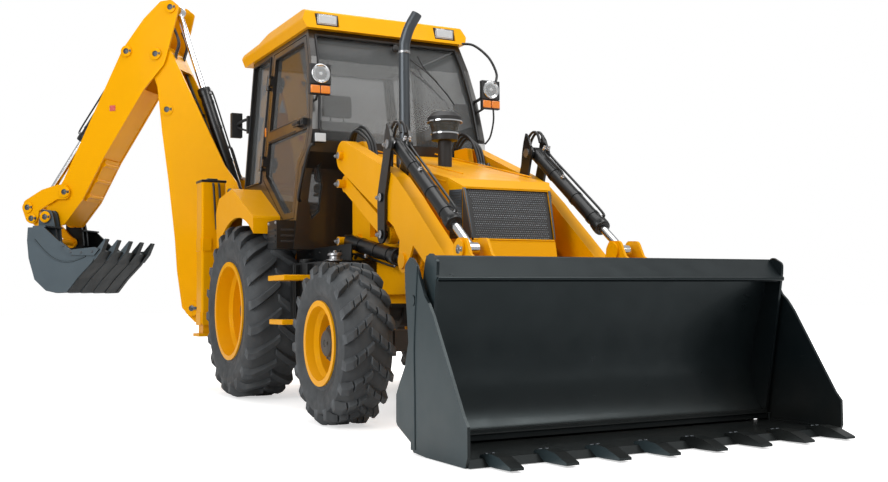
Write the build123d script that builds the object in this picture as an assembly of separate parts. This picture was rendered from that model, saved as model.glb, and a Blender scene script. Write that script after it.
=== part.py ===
"""A backhoe loader: tractor unit, front loader with a clam bucket, and a side-shift rear excavator.

Millimetres. While it is modelled, +X points forward, +Y to the driver's left and +Z up, with the
ground at z = 0 and the rear axle's centre above x = 0, y = 0. The last step moves every piece so
that the origin lies on the ground, under the middle of the whole machine's box.
"""

from build123d import *
import math
import os

# ---- Driving sizes -----------------------------------------------------------------------------

WHEELBASE = 2170
PIN_CLEAR = 0.3        # radial clearance of a pin in its bore
SHAFT_CLEAR = 0.08     # radial clearance of a wheel spindle or a kingpin
MOVE_CLEAR = 8         # side clearance between pieces that pass each other

REAR_TYRE_R, REAR_TYRE_W, REAR_RIM_R, REAR_RIM_W, REAR_WHEEL_Y = 670, 430, 382, 408, 842
FRONT_TYRE_R, FRONT_TYRE_W, FRONT_RIM_R, FRONT_RIM_W, FRONT_WHEEL_Y = 488, 318, 256, 300, 968
SPINDLE_R = 42         # wheel spindles
KINGPIN_R, KINGPIN_Y = 24, 742

RAIL_Y = (285, 365)    # chassis side rails, |y|
RAIL_Z = (720, 985)
RAIL_REAR_X, RAIL_FRONT_X = -790, 2560

CAB_ROOF_Z = 2780      # top of the cab's side walls
CAB_FLOOR_Z = 1120
CAB_TOP_Y = 640        # half width of the cab at the roof
CAB_SLOPE = 0.09       # how much the side walls spread per unit of drop
CAB_WALL = 32
CAB_REAR_X, CAB_PILLAR_X, CAB_FRONT_X = -640, -100, 990

# Loader linkage, side view: arm pivot, levelling-link pivot and the rocker's middle pin.
ARM_PIVOT = (1200, 1765)
LINK_DROP = 199              # the levelling link's rear pin, this far below the arm's pivot
LINK_END_DROP = 240          # its front end, this far below the rocker's middle pin
ROCKER_REACH, ROCKER_DROP = 720, 360
ROCKER_HEAD = (115, 330)     # from the rocker's middle pin to its top pin
CROWD_PIN = (3000, 1020)     # the crowd ram's pin on the bucket hitch
LIFT_RAM_BASE = (1200, 1160)
LIFT_RAM_EYE = (2200, 985)
ARM_Y, ARM_W = 520, 100      # centre |y| and width of each loader arm
ARM_PLATE = 12
LINK_W = 60

BUCKET_HALF_W = 1147
BUCKET_PLATE = 15
CLAM_PIVOT = (3539, 739)
CUTTING_EDGE_X = 4050
TOOTH_COUNT, TOOTH_PITCH, TOOTH_TIP_X = 8, 286, 4250

# Rear frame, carriage and kingpost.
FRAME_X = (-980, -800)       # depth of the rear frame's beams and of the stabiliser tubes
FRAME_TOP_Z = (1000, 1120)
FRAME_LOW_Z = (420, 540)
LEG_Y = (835, 1045)
LEG_TUBE_Z = (560, 1765)
LEG_WALL = 12
LEG_FOOT_Z = 450
SLEW_X, SLEW_Y = -1470, -620
SLEW_ANGLE = 50              # the boom's heading, from straight back towards the driver's right
CARRIAGE_HALF_W = 280

# Excavator linkage in the boom's own plane: distance out from the kingpost's axis, then height.
BOOM_FOOT = (292, 686)
BOOM_HEAD = (653, 3048)
BOOM_RAM_BASE = (200, 1060)
BOOM_RAM_EYE = (549, 2527)
DIPPER_RAM_BASE = (-83, 1745)
DIPPER_RAM_EYE = (507, 3478)
BUCKET_RAM_BASE = (949, 3089)
LEVER_PIVOT = (1564, 1785)
LEVER_RAM_PIN = (1946, 1650)
LEVER_LINK_PIN = (1905, 1545)
BUCKET_PIVOT = (1702, 1547)
BUCKET_LINK_PIN = (1702, 1327)
BOOM_HALF_W, BOOM_PLATE = 145, 20
DIPPER_HALF_W, DIPPER_PLATE = 171, 18
HOE_HALF_W = 460
HOE_TEETH, HOE_TOOTH_SPAN = 5, 850

# ---- Derived places ----------------------------------------------------------------------------

LINK_PIVOT = (ARM_PIVOT[0], ARM_PIVOT[1] - LINK_DROP)
ROCKER_MID = (ARM_PIVOT[0] + ROCKER_REACH, ARM_PIVOT[1] - ROCKER_DROP)
ROCKER_LOW = (ROCKER_MID[0], ROCKER_MID[1] - LINK_END_DROP)
ROCKER_TOP = (ROCKER_MID[0] + ROCKER_HEAD[0], ROCKER_MID[1] + ROCKER_HEAD[1])
HINGE_PIN = (CROWD_PIN[0] - ROCKER_HEAD[0], CROWD_PIN[1] - ROCKER_HEAD[1])

ARM_IN, ARM_OUT = ARM_Y - ARM_W / 2, ARM_Y + ARM_W / 2
PLATE_W = 16                 # rocker and hitch plates
OUTER_PLATE_Y = (ARM_OUT + MOVE_CLEAR, ARM_OUT + MOVE_CLEAR + PLATE_W)
INNER_PLATE_Y = (ARM_IN - MOVE_CLEAR - PLATE_W, ARM_IN - MOVE_CLEAR)


# ---- Shape helpers -----------------------------------------------------------------------------

def box(x, y, z):
    """A block between the low and high values of each axis."""
    middle = Pos((x[0] + x[1]) / 2, (y[0] + y[1]) / 2, (z[0] + z[1]) / 2)
    return middle * Box(x[1] - x[0], y[1] - y[0], z[1] - z[0])


def rod(start, end, radius):
    """A round bar from one point to another."""
    start, end = Vector(*start), Vector(*end)
    length = (end - start).length
    along = Cylinder(radius, length, align=(Align.CENTER, Align.CENTER, Align.MIN))
    return Plane(start, z_dir=end - start) * along


def pin(at, radius, y):
    """A round bar along Y through the side-view point `at`."""
    return rod((at[0], y[0], at[1]), (at[0], y[1], at[1]), radius)


def outline(points, place):
    """A closed face; a point is (u, v) or (u, v, corner radius), and place(u, v) gives its spot."""
    count = len(points)
    corners = []
    for i, point in enumerate(points):
        here = Vector(point[0], point[1])
        back = Vector(*points[i - 1][:2]) - here
        ahead = Vector(*points[(i + 1) % count][:2]) - here
        if len(point) < 3:
            corners.append((here, here, here))
            continue
        half = math.radians(back.get_angle(ahead)) / 2
        run = point[2] / math.tan(half)
        inward = (back.normalized() + ahead.normalized()).normalized()
        middle = here + inward * (point[2] / math.sin(half) - point[2])
        corners.append((here + back.normalized() * run, middle, here + ahead.normalized() * run))
    edges = []
    for i, (first, middle, last) in enumerate(corners):
        if (last - first).length > 1e-6:
            edges.append(ThreePointArc(place(*first), place(*middle), place(*last)))
        following = corners[(i + 1) % count][0]
        if (following - last).length > 1e-6:
            edges.append(Line(place(*last), place(*following)))
    return Face(Wire(edges))


def slab(points, y):
    """A side-view outline (x, z) made thick from y[0] to y[1]."""
    face = outline(points, lambda u, v, *_: (u, y[0], v))
    return Solid.extrude(face, Vector(0, y[1] - y[0], 0))


def slice_up(points, z):
    """A plan-view outline (x, y) made thick from z[0] to z[1]."""
    face = outline(points, lambda u, v, *_: (u, v, z[0]))
    return Solid.extrude(face, Vector(0, 0, z[1] - z[0]))


def bar_x(points, x):
    """A front-view outline (y, z) made thick from x[0] to x[1]."""
    face = outline(points, lambda u, v, *_: (x[0], u, v))
    return Solid.extrude(face, Vector(x[1] - x[0], 0, 0))


def turned(points, centre, side=1):
    """A ring or disc round a Y axis: points are (distance out along Y from the centre, radius)."""
    x, y, z = centre
    face = outline(points, lambda u, v, *_: (x, y + side * u, z + v))
    return revolve(face, axis=Axis((x, y, z), (0, 1, 0)))


def both(shape):
    """The shape and its mirror image on the machine's other side."""
    return shape + mirror(shape, about=Plane.XZ)


def strip(points, width):
    """The outline of a band of one width along a run of side-view points."""
    left, right = [], []
    for i, point in enumerate(points):
        here = Vector(*point)
        before = Vector(*points[max(i - 1, 0)])
        after = Vector(*points[min(i + 1, len(points) - 1)])
        if i == 0:
            before = here - (after - here)
        if i == len(points) - 1:
            after = here + (here - before)
        one, two = (here - before).normalized(), (after - here).normalized()
        across = (one + two).normalized()
        normal = Vector(-across.Y, across.X)
        half = width / 2 / (normal.dot(Vector(-one.Y, one.X)))
        left.append(tuple(here + normal * half)[:2])
        right.append(tuple(here - normal * half)[:2])
    return left + right[::-1]


def ram(base, eye, y, barrel_r, rod_r, barrel_length, inside, eye_w, base_pin=None):
    """A ram in the plane at y: its barrel on the base pin, and its rod with the far eye.

    `inside` is the rod's length within the barrel. The base eye has a bore for base_pin; the rod's
    eye carries its own short pin, because the pin's outer ends belong to what it moves.
    """
    start = Vector(base[0], y, base[1])
    end = Vector(eye[0], y, eye[1])
    along = (end - start).normalized()
    across = Vector(0, 1, 0)
    gland = start + along * barrel_length
    base_r, eye_r = barrel_r * 0.95, rod_r * 1.6

    def axle(at, radius, width):
        return rod(at - across * (width / 2), at + across * (width / 2), radius)

    barrel = rod(start + along * base_r * 0.5, gland, barrel_r)
    barrel += rod(gland - along * 70, gland, barrel_r + 6)
    barrel += axle(start, base_r, eye_w)
    barrel -= rod(gland - along * inside_depth(barrel_length), gland + along, rod_r + PIN_CLEAR)
    barrel -= axle(start, base_pin + PIN_CLEAR, max(eye_w, 2 * barrel_r) + 20)
    piston = rod(gland - along * inside, end - along * eye_r * 0.5, rod_r)
    piston += axle(end, eye_r, eye_w)
    return barrel, piston


def inside_depth(barrel_length):
    """How deep the rod's bore runs into a barrel."""
    return barrel_length - 90


def grown(points, amount):
    """The same polygon with every side moved outward by `amount`, or inward when it is negative."""
    count = len(points)
    area = sum(points[i - 1][0] * points[i][1] - points[i][0] * points[i - 1][1] for i in range(count))
    turn = 1 if area > 0 else -1
    moved = []
    for i, point in enumerate(points):
        here = Vector(*point[:2])
        one = (here - Vector(*points[i - 1][:2])).normalized()
        two = (Vector(*points[(i + 1) % count][:2]) - here).normalized()
        first, second = Vector(one.Y, -one.X) * turn, Vector(two.Y, -two.X) * turn
        shift = (first + second) * (amount / (1 + first.dot(second)))
        moved.append((here.X + shift.X, here.Y + shift.Y) + tuple(point[2:]))
    return moved


nodes = {}

# ---- Wheels and axles --------------------------------------------------------------------------

FRONT_AXLE_Z, REAR_AXLE_Z = FRONT_TYRE_R, REAR_TYRE_R
# A rim's disc stands this far outboard of the rim's middle; the hub reaches inboard from it.
REAR_DISC, FRONT_DISC = -60, -45
DISC_T, RIM_T = 18, 12
REAR_HUB_R, FRONT_HUB_R = 125, 105
REAR_HUB_IN, FRONT_HUB_IN = 590, 838      # |y| of each hub's inboard face


def wheel(x, z, middle_y, tyre_r, tyre_w, rim_r, rim_w, disc, hub_r, hub_in, side):
    """A rim with its disc and hub, and the tyre on it, as two solids about a Y axis."""
    half, flange = rim_w / 2, 26
    well = rim_r - 34
    rim_points = [
        (-half, well), (-half, rim_r), (-half + RIM_T, rim_r), (-half + RIM_T, rim_r - flange + 6),
        (-60, rim_r - flange), (-30, well - 16), (60, well - 16), (90, rim_r - flange),
        (half - RIM_T, rim_r - flange + 6), (half - RIM_T, rim_r), (half, rim_r), (half, well),
        (100, well - 10), (72, well - 16 - RIM_T), (-42, well - 16 - RIM_T), (-72, well - 10),
    ]
    centre = (x, side * middle_y, z)
    rim = turned(rim_points, centre, side)
    disc_out = disc + DISC_T
    rim += turned([(disc, 60), (disc, well - 18), (disc_out, well - 18), (disc_out, 60)], centre, side)
    rim += rod((x, side * hub_in, z), (x, side * (middle_y + disc_out + 42), z), hub_r)
    bore_to = middle_y + disc - 20
    rim -= rod((x, side * (hub_in - 5), z), (x, side * bore_to, z), SPINDLE_R + SHAFT_CLEAR)
    bulge, lean = tyre_w / 2, rim_w / 2 - 14
    seat = rim_r - flange + 6.5
    tyre_points = [
        (-lean, seat), (-lean, rim_r + 12, 8), (-bulge, (rim_r + tyre_r) / 2, 60),
        (-bulge + 22, tyre_r, 34), (bulge - 22, tyre_r, 34), (bulge, (rim_r + tyre_r) / 2, 60),
        (lean, rim_r + 12, 8), (lean, seat),
    ]
    tyre = turned(tyre_points, centre, side)
    return rim, tyre


WHEELS = {
    # name: (x, axle height, side, sizes)
    "rear_right": (0, REAR_AXLE_Z, -1, "rear"),
    "rear_left": (0, REAR_AXLE_Z, 1, "rear"),
    "front_right": (WHEELBASE, FRONT_AXLE_Z, -1, "front"),
    "front_left": (WHEELBASE, FRONT_AXLE_Z, 1, "front"),
}
WHEEL_SIZES = {
    # name: (middle |y|, tyre radius and width, rim radius and width, disc, hub radius, hub's inboard |y|)
    "rear": (
        REAR_WHEEL_Y, REAR_TYRE_R, REAR_TYRE_W, REAR_RIM_R, REAR_RIM_W, REAR_DISC, REAR_HUB_R, REAR_HUB_IN,
    ),
    "front": (
        FRONT_WHEEL_Y, FRONT_TYRE_R, FRONT_TYRE_W, FRONT_RIM_R, FRONT_RIM_W, FRONT_DISC, FRONT_HUB_R,
        FRONT_HUB_IN,
    ),
}
for name, (wheel_x, wheel_z, side, kind) in WHEELS.items():
    rim, tyre = wheel(wheel_x, wheel_z, *WHEEL_SIZES[kind], side)
    nodes[name + "_rim"] = rim
    nodes[name + "_tyre"] = tyre


AXLE_SEAT_Z = REAR_AXLE_Z + 120      # where the rear axle's pads meet the notches in the rails
STEER_ROD_R, STEER_ROD_HALF = 20, 560


def span(side, near, far):
    """The Y range between two distances from the middle, on one side."""
    return (near, far) if side > 0 else (-far, -near)


def rear_axle():
    """The driven rear axle: a round centre casing, tapered arms, brake drums and the spindles."""
    z = REAR_AXLE_Z
    arm_end = REAR_HUB_IN - 12
    casing = rod((0, -170, z), (0, 170, z), 205)
    casing += box((-120, 300), (-150, 150), (z - 150, z + 100))
    for side in (-1, 1):
        casing += rod((0, side * 160, z), (0, side * 420, z), 105)
        casing += rod((0, side * 400, z), (0, side * arm_end, z), 150)
        casing += box((-110, 110), span(side, *RAIL_Y), (z + 40, AXLE_SEAT_Z))
        casing += rod((0, side * arm_end, z), (0, side * (REAR_WHEEL_Y + REAR_DISC - 40), z), SPINDLE_R)
    return casing


def front_axle():
    """The oscillating front axle: a box beam with a centre differential and an eye for each kingpin."""
    x, z = WHEELBASE, FRONT_AXLE_Z
    beam = box((x - 75, x + 75), (-650, 650), (z - 60, z + 70))
    beam += rod((x, -140, z), (x, 140, z), 150)
    beam += rod((x - 239, 0, z + 40), (x + 259, 0, z + 40), 60)
    for side in (-1, 1):
        eye = rod((x, side * KINGPIN_Y, z - 90), (x, side * KINGPIN_Y, z + 95), 55)
        eye += box((x - 60, x + 60), span(side, 640, KINGPIN_Y), (z - 60, z + 70))
        eye -= rod((x, side * KINGPIN_Y, z - 120), (x, side * KINGPIN_Y, z + 120), KINGPIN_R + SHAFT_CLEAR)
        beam += eye
    beam += rod((x - 150, -190, z + 5), (x - 150, 190, z + 5), 38)
    beam += box((x - 150, x - 60), (-60, 60), (z - 30, z + 40))
    beam -= rod((x - 150, -200, z + 5), (x - 150, 200, z + 5), STEER_ROD_R + PIN_CLEAR)
    return beam


def steering_rod():
    """The steering cylinder's through rod with a ball end on each side."""
    x, z = WHEELBASE - 150, FRONT_AXLE_Z + 5
    shaft = rod((x, -STEER_ROD_HALF, z), (x, STEER_ROD_HALF, z), STEER_ROD_R)
    for side in (-1, 1):
        shaft += Pos(x, side * STEER_ROD_HALF, z) * Sphere(32)
    return shaft


def knuckle(side):
    """A steering knuckle: a fork over the axle's eye, its kingpin, a steering arm and the spindle."""
    x, y, z = WHEELBASE, side * KINGPIN_Y, FRONT_AXLE_Z
    low, high = z - 96, z + 101
    fork = rod((x, y, low - 34), (x, y, low), 58) + rod((x, y, high), (x, y, high + 34), 58)
    fork += rod((x, y, low - 34), (x, y, high + 34), KINGPIN_R)
    wall = span(side, 802, 828)
    reach = span(side, KINGPIN_Y, 828)
    fork += box((x - 58, x + 58), reach, (low - 34, low)) + box((x - 58, x + 58), reach, (high, high + 34))
    fork += box((x - 100, x + 100), wall, (low - 34, high + 34))
    fork += box((x - 190, x - 95), span(side, 790, 826), (z - 12, z + 22))
    fork += box((x - 190, x - 125), span(side, 715, 800), (z - 12, z + 22))
    fork += rod((x, side * 815, z), (x, side * (FRONT_WHEEL_Y + FRONT_DISC - 40), z), SPINDLE_R)
    return fork


nodes["rear_axle"] = rear_axle()
nodes["front_axle"] = front_axle()
nodes["steering_rod"] = steering_rod()
nodes["right_knuckle"] = knuckle(-1)
nodes["left_knuckle"] = knuckle(1)

# ---- Chassis and rear frame --------------------------------------------------------------------

TOWER_Y = (398, 438)
TOWER_TOP = ARM_PIVOT[1] + 105
PIN_R = 30                   # loader pins
TOW_HOLE_R, TOW_PLATE_T = 17, 20
TIE_HOLE_R, TIE_PLATE_T = 22, 20
HOOD_HINGE, HOOD_PIN_R = (2560, 1012), 12


def tower():
    """One loader tower: a box post with a triangular brace, the arm, link and lift-ram pins outboard."""
    top, deep = TOWER_TOP, RAIL_Z[0] + 60
    side_plate = [
        (1070, deep), (1070, top), (1275, top, 40), (1330, 1640), (1960, 1120), (2020, RAIL_Z[1]),
        (2020, deep),
    ]
    post = slab(side_plate, TOWER_Y)
    post -= slab([(1385, 1180), (1385, 1440), (1700, 1180)], (TOWER_Y[0] - 5, TOWER_Y[1] + 5))
    post += box((1070, 2020), (RAIL_Y[0], TOWER_Y[0] + 5), (RAIL_Z[0] + 60, RAIL_Z[1]))
    for at in (ARM_PIVOT, LINK_PIVOT, LIFT_RAM_BASE):
        post += pin(at, PIN_R, (TOWER_Y[1] - 5, ARM_OUT + 34))
    post += pin(LINK_PIVOT, 48, (TOWER_Y[1] - 5, ARM_Y - LINK_W / 2 - 2))
    post += pin(ARM_PIVOT, 52, (TOWER_Y[1] - 5, ARM_IN - 4))
    post += pin(LIFT_RAM_BASE, 50, (TOWER_Y[1] - 5, ARM_IN - 5))
    return post


def chassis():
    """The side rails with their cross plates, the loader towers, the nose and the rear frame."""
    rail = box((RAIL_REAR_X, RAIL_FRONT_X), RAIL_Y, RAIL_Z)
    rail -= box((-115, 115), (RAIL_Y[0] - 5, RAIL_Y[1] + 5), (RAIL_Z[0] - 5, AXLE_SEAT_Z))
    rails = both(rail)
    for x in (-700, -330):
        rails += box((x, x + 40), (-RAIL_Y[0] - 5, RAIL_Y[0] + 5), (RAIL_Z[0] + 20, RAIL_Z[1] - 20))
    rails += both(tower())
    # The nose carries the axle's oscillation trunnions between two deep cheeks.
    x, z = WHEELBASE, FRONT_AXLE_Z
    for low, high in ((x - 262, x - 214), (x + 234, x + 282)):
        rails += box((low, high), (-RAIL_Y[1], RAIL_Y[1]), (z - 40, RAIL_Z[0] + 5))
    rails -= rod((x - 290, 0, z + 40), (x + 300, 0, z + 40), 60 + PIN_CLEAR)
    for low, high in ((x - 262, x - 240), (x + 260, x + 282)):
        rails += box((low, high), (-90, 90), (z - 30, z + 110))
    rails += both(box((2380, RAIL_FRONT_X), (RAIL_Y[0], RAIL_Y[1]), (z + 60, RAIL_Z[0] + 5)))
    rails += box((RAIL_FRONT_X - 45, RAIL_FRONT_X), (-RAIL_Y[1], RAIL_Y[1]), (z + 60, RAIL_Z[1] - 30))
    hinge_x, hinge_z = HOOD_HINGE
    rails += both(box((hinge_x - 25, hinge_x + 15), (225, 250), (RAIL_Z[1] - 35, hinge_z + 25)))
    rails += both(rod((hinge_x, 235, hinge_z), (hinge_x, 282, hinge_z), HOOD_PIN_R))
    for low in (620, 690):
        rails += box((RAIL_FRONT_X - 5, RAIL_FRONT_X + 95), (-60, 60), (low, low + TOW_PLATE_T))
    rails -= rod((RAIL_FRONT_X + 50, 0, 600), (RAIL_FRONT_X + 50, 0, 730), TOW_HOLE_R)
    return rails


def rear_frame():
    """The rear frame: two cross beams that carry the carriage, and the stabilisers' outer tubes."""
    frame = box(FRAME_X, (-LEG_Y[0] - 5, LEG_Y[0] + 5), FRAME_TOP_Z)
    frame += box(FRAME_X, (-LEG_Y[0] - 5, LEG_Y[0] + 5), FRAME_LOW_Z)
    tube = box(FRAME_X, LEG_Y, LEG_TUBE_Z)
    tube = fillet(tube.edges().filter_by(Axis.Z), 22)
    hollow = box(
        (FRAME_X[0] + LEG_WALL, FRAME_X[1] - LEG_WALL),
        (LEG_Y[0] + LEG_WALL, LEG_Y[1] - LEG_WALL),
        (LEG_TUBE_Z[0] - 10, LEG_TUBE_Z[1] - 20),
    )
    frame += both(tube)
    frame += both(box(FRAME_X, (LEG_Y[0] - 60, LEG_Y[0] + 10), (FRAME_LOW_Z[0], FRAME_TOP_Z[1])))
    frame -= both(hollow)
    for y in (-320, 320):
        frame += box((FRAME_X[0], FRAME_X[1]), (y - 30, y + 30), (FRAME_LOW_Z[1] - 5, FRAME_TOP_Z[0] + 5))
        frame += box((FRAME_X[1] - 5, RAIL_REAR_X), (y - 40, y + 40), (RAIL_Z[0] + 5, RAIL_Z[1] - 5))
    for side in (-1, 1):
        eye_y = side * 560
        half = TIE_PLATE_T / 2
        eye = box((FRAME_X[1] - 5, FRAME_X[1] + 75), (eye_y - half, eye_y + half), (440, 520))
        eye -= rod((FRAME_X[1] + 38, eye_y - 20, 480), (FRAME_X[1] + 38, eye_y + 20, 480), TIE_HOLE_R)
        frame += eye
    return frame


def stabiliser(side):
    """One stabiliser's inner leg and its foot, which slide down out of the tube."""
    (x0, x1), (y0, y1), top = FRAME_X, LEG_Y, LEG_TUBE_Z[1]
    gap, pad_gap = LEG_WALL + 6, LEG_WALL + 0.4
    leg = box((x0 + gap, x1 - gap), (y0 + gap, y1 - gap), (LEG_FOOT_Z + 20, top - 120))
    pads = box((x0 + pad_gap, x1 - pad_gap), (y0 + pad_gap, y1 - pad_gap), (top - 180, top - 130))
    foot = box((x0 + 2, x1 + 10), (y0 + 15, y1 + 25), (LEG_FOOT_Z, LEG_FOOT_Z + 26))
    shape = leg + pads + foot
    return shape if side > 0 else mirror(shape, about=Plane.XZ)


nodes["chassis"] = chassis()
nodes["rear_frame"] = rear_frame()
nodes["right_stabiliser_leg"] = stabiliser(-1)
nodes["left_stabiliser_leg"] = stabiliser(1)


def engine():
    """The engine and its gearbox as plain blocks, on four mounts between the rails."""
    block = box((1180, 1860), (-230, 230), (RAIL_Z[1] - 260, 1480))
    block += box((380, 1200), (-190, 190), (RAIL_Z[1] - 300, RAIL_Z[1] - 5))
    for x in (480, 1500):
        block += box((x, x + 90), (-RAIL_Y[0], RAIL_Y[0]), (RAIL_Z[0] + 70, RAIL_Z[0] + 150))
    return block


nodes["engine_block"] = engine()


def side_boxes():
    """The tank and steps on the right, the battery box and steps on the left, and the slotted box."""
    tank = box((760, 1500), (TOWER_Y[1] + 6, 800), (560, 1010))
    for z, x in ((890, (900, 1240)), (585, (930, 1200))):
        tank += box(x, (795, 1010), (z, z + 28))
    tank += box((930, 960), (795, 830), (560, 1000)) + box((1170, 1200), (795, 830), (560, 1000))
    tank += box((780, 1060), (RAIL_Y[1], TOWER_Y[1] + 10), (RAIL_Z[0] + 90, RAIL_Z[1] - 30))
    return both(tank)


nodes["tank_and_steps"] = side_boxes()

# ---- Cab ---------------------------------------------------------------------------------------

CAB_SIDE = [
    (CAB_REAR_X, CAB_ROOF_Z), (700, CAB_ROOF_Z), (825, 2550), (925, 2280), (985, 1980), (960, 1820),
    (825, 1715), (800, 1360), (800, CAB_FLOOR_Z), (565, CAB_FLOOR_Z), (440, 1275), (200, 1392), (0, 1412),
    (CAB_REAR_X + 60, 1440),
]
DOOR = [
    (-70, 2735), (672, 2735), (778, 2515), (868, 2255), (915, 1985), (885, 1850), (765, 1750),
    (745, 1390), (742, 1352), (508, 1352), (430, 1400), (-70, 1715),
]
DOOR_UPPER_GLASS = [(-25, 2690), (645, 2690), (735, 2500), (822, 2250), (850, 2105), (-25, 2105)]
DOOR_LOWER_GLASS = [
    (-25, 2005), (868, 2005), (842, 1872), (722, 1775), (700, 1398), (522, 1398), (450, 1440), (-25, 1740),
]
REAR_QUARTER_GLASS = [(-590, 2735), (-140, 2735), (-140, 1700), (-545, 1700)]
LEAF_GLASS = [(600, 1760), (655, 1700), (680, 1480), (650, 1340), (590, 1400), (570, 1600)]
DOOR_FRAME_T, GLASS_T = 28, 6
DOOR_HINGE_X, DOOR_HINGE_OUT, DOOR_HINGE_HEIGHTS, DOOR_PIN_R = -76, 26, (2510, 1850), 8


def cab_y(z, out=0):
    """|y| of the cab's side plane at a height, moved outward by `out`."""
    return CAB_TOP_Y + CAB_SLOPE * (CAB_ROOF_Z - z) + out


def leaning(points, side, out, thick):
    """A side-view outline on the cab's leaning side, `out` proud of it, made thick towards the middle."""
    face = outline(points, lambda u, v, *_: (u, side * cab_y(v, out), v))
    return Solid.extrude(face, Vector(0, -side * thick, 0))


def cab_body(points, shrink):
    """The side-view outline swept across the cab and cut to its leaning sides, all smaller by `shrink`."""
    low, high = 1000, CAB_ROOF_Z + 50
    front_view = [
        (-cab_y(low, -shrink), low), (-cab_y(high, -shrink), high),
        (cab_y(high, -shrink), high), (cab_y(low, -shrink), low),
    ]
    return slab(grown(points, -shrink), (-950, 950)) & bar_x(front_view, (-1200, 1300))


def across(points, x):
    """A front-view outline given for the left half, mirrored into one whole outline, thick in X."""
    return bar_x(points + [(-y, z) for y, z in reversed(points)], x)


WINDSCREEN = [(cab_y(2735, -52), 2735), (cab_y(1905, -52), 1905)]
REAR_SCREEN = [(cab_y(2735, -70), 2735), (cab_y(1600, -70), 1600)]
REAR_GLASS_X = (CAB_REAR_X - 60, CAB_REAR_X + 120)


def cab_frame():
    """The cab's shell with its floor, pillars, door openings, window openings and hinge brackets."""
    shell = cab_body(CAB_SIDE, 0) - cab_body(CAB_SIDE, CAB_WALL)
    shell -= across(WINDSCREEN, (640, 1100))
    shell -= across(REAR_SCREEN, (CAB_REAR_X - 100, CAB_REAR_X + 200))
    for side in (-1, 1):
        for hole in (grown(DOOR, 8), REAR_QUARTER_GLASS):
            shell -= leaning(hole, side, 60, 160)
        shell -= bar_x([(side * y, z) for y, z in LEAF_GLASS], (700, 1100))
        for z in DOOR_HINGE_HEIGHTS:
            for low in (z + 36, z - 60):
                rear, high = DOOR_HINGE_X - 36, low + 24
                foot = [(rear, low), (rear, high), (DOOR_HINGE_X, high), (DOOR_HINGE_X, low)]
                shell += leaning(foot, side, DOOR_HINGE_OUT + 8, DOOR_HINGE_OUT + 9)
            shell += hinge_line(side, z + 60, z - 60, DOOR_PIN_R)
            shell += hinge_line(side, z + 60, z + 36, 14) + hinge_line(side, z - 36, z - 60, 14)
    return shell


def hinge_line(side, high, low, radius):
    """A round bar along a door's leaning hinge axis between two heights."""
    top = (DOOR_HINGE_X, side * cab_y(high, DOOR_HINGE_OUT), high)
    bottom = (DOOR_HINGE_X, side * cab_y(low, DOOR_HINGE_OUT), low)
    return rod(bottom, top, radius)


def door(side):
    """One door's frame with its middle bar and hinge leaves, and its glass against the inside."""
    frame = leaning(DOOR, side, 0, DOOR_FRAME_T)
    for hole in (DOOR_UPPER_GLASS, DOOR_LOWER_GLASS):
        frame -= leaning(hole, side, 20, DOOR_FRAME_T + 40)
    for z in DOOR_HINGE_HEIGHTS:
        leaf = [(DOOR_HINGE_X, z - 28), (DOOR_HINGE_X, z + 28), (-20, z + 28), (-20, z - 28)]
        frame += leaning(leaf, side, DOOR_HINGE_OUT + 8, DOOR_HINGE_OUT + 9)
        frame += hinge_line(side, z + 33, z - 33, 17)
        frame -= hinge_line(side, z + 40, z - 40, DOOR_PIN_R + PIN_CLEAR)
    handle = [(650, 2035), (650, 2075), (790, 2075), (790, 2035)]
    frame += leaning(handle, side, 40, 16)
    for x in (655, 770):
        frame += leaning([(x, 2040), (x, 2070), (x + 15, 2070), (x + 15, 2040)], side, 30, 31)
    glass = leaning(grown(DOOR, -20), side, -DOOR_FRAME_T, GLASS_T)
    return frame, glass


def cab_zone(low, high):
    """Everything between the cab's two leaning side planes over a range of heights."""
    view = [(-cab_y(low), low), (-cab_y(high), high), (cab_y(high), high), (cab_y(low), low)]
    return bar_x(view, (-1200, 1300))


def cab_mounts():
    """The posts on the side rails that carry the cab's floor."""
    posts = box((640, 760), (RAIL_Y[0], 480), (RAIL_Z[1], CAB_FLOOR_Z))
    posts += box((-600, -520), RAIL_Y, (RAIL_Z[1], 1460))
    return both(posts - cab_body(CAB_SIDE, 0))


nodes["chassis"] = nodes["chassis"] + cab_mounts()
nodes["slotted_box"] = both(box((585, 790), (700, 915), (1122, 1330)) - cab_zone(1000, 1500))
nodes["cab_frame"] = cab_frame()
nodes["right_door"], nodes["right_door_glass"] = door(-1)
nodes["left_door"], nodes["left_door_glass"] = door(1)


def cab_glass():
    """The windscreen, the rear and quarter windows and the leaf windows, against the shell's inside."""
    behind = cab_body(CAB_SIDE, CAB_WALL) - cab_body(CAB_SIDE, CAB_WALL + GLASS_T)
    wide_front = [(y + 14, z + (14 if i == 0 else -14)) for i, (y, z) in enumerate(WINDSCREEN)]
    wide_rear = [(y + 14, z + (14 if i == 0 else -14)) for i, (y, z) in enumerate(REAR_SCREEN)]
    panes = [behind & across(wide_front, (640, 1100)), behind & across(wide_rear, REAR_GLASS_X)]
    for side in (-1, 1):
        panes.append(leaning(grown(REAR_QUARTER_GLASS, 12), side, -CAB_WALL, GLASS_T))
        leaf = bar_x([(side * y, z) for y, z in grown(LEAF_GLASS, 12)], (650, 1000))
        panes.append(behind & leaf)
    return Compound([piece for pane in panes for piece in pane.solids()])


nodes["cab_glass"] = cab_glass()


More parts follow.
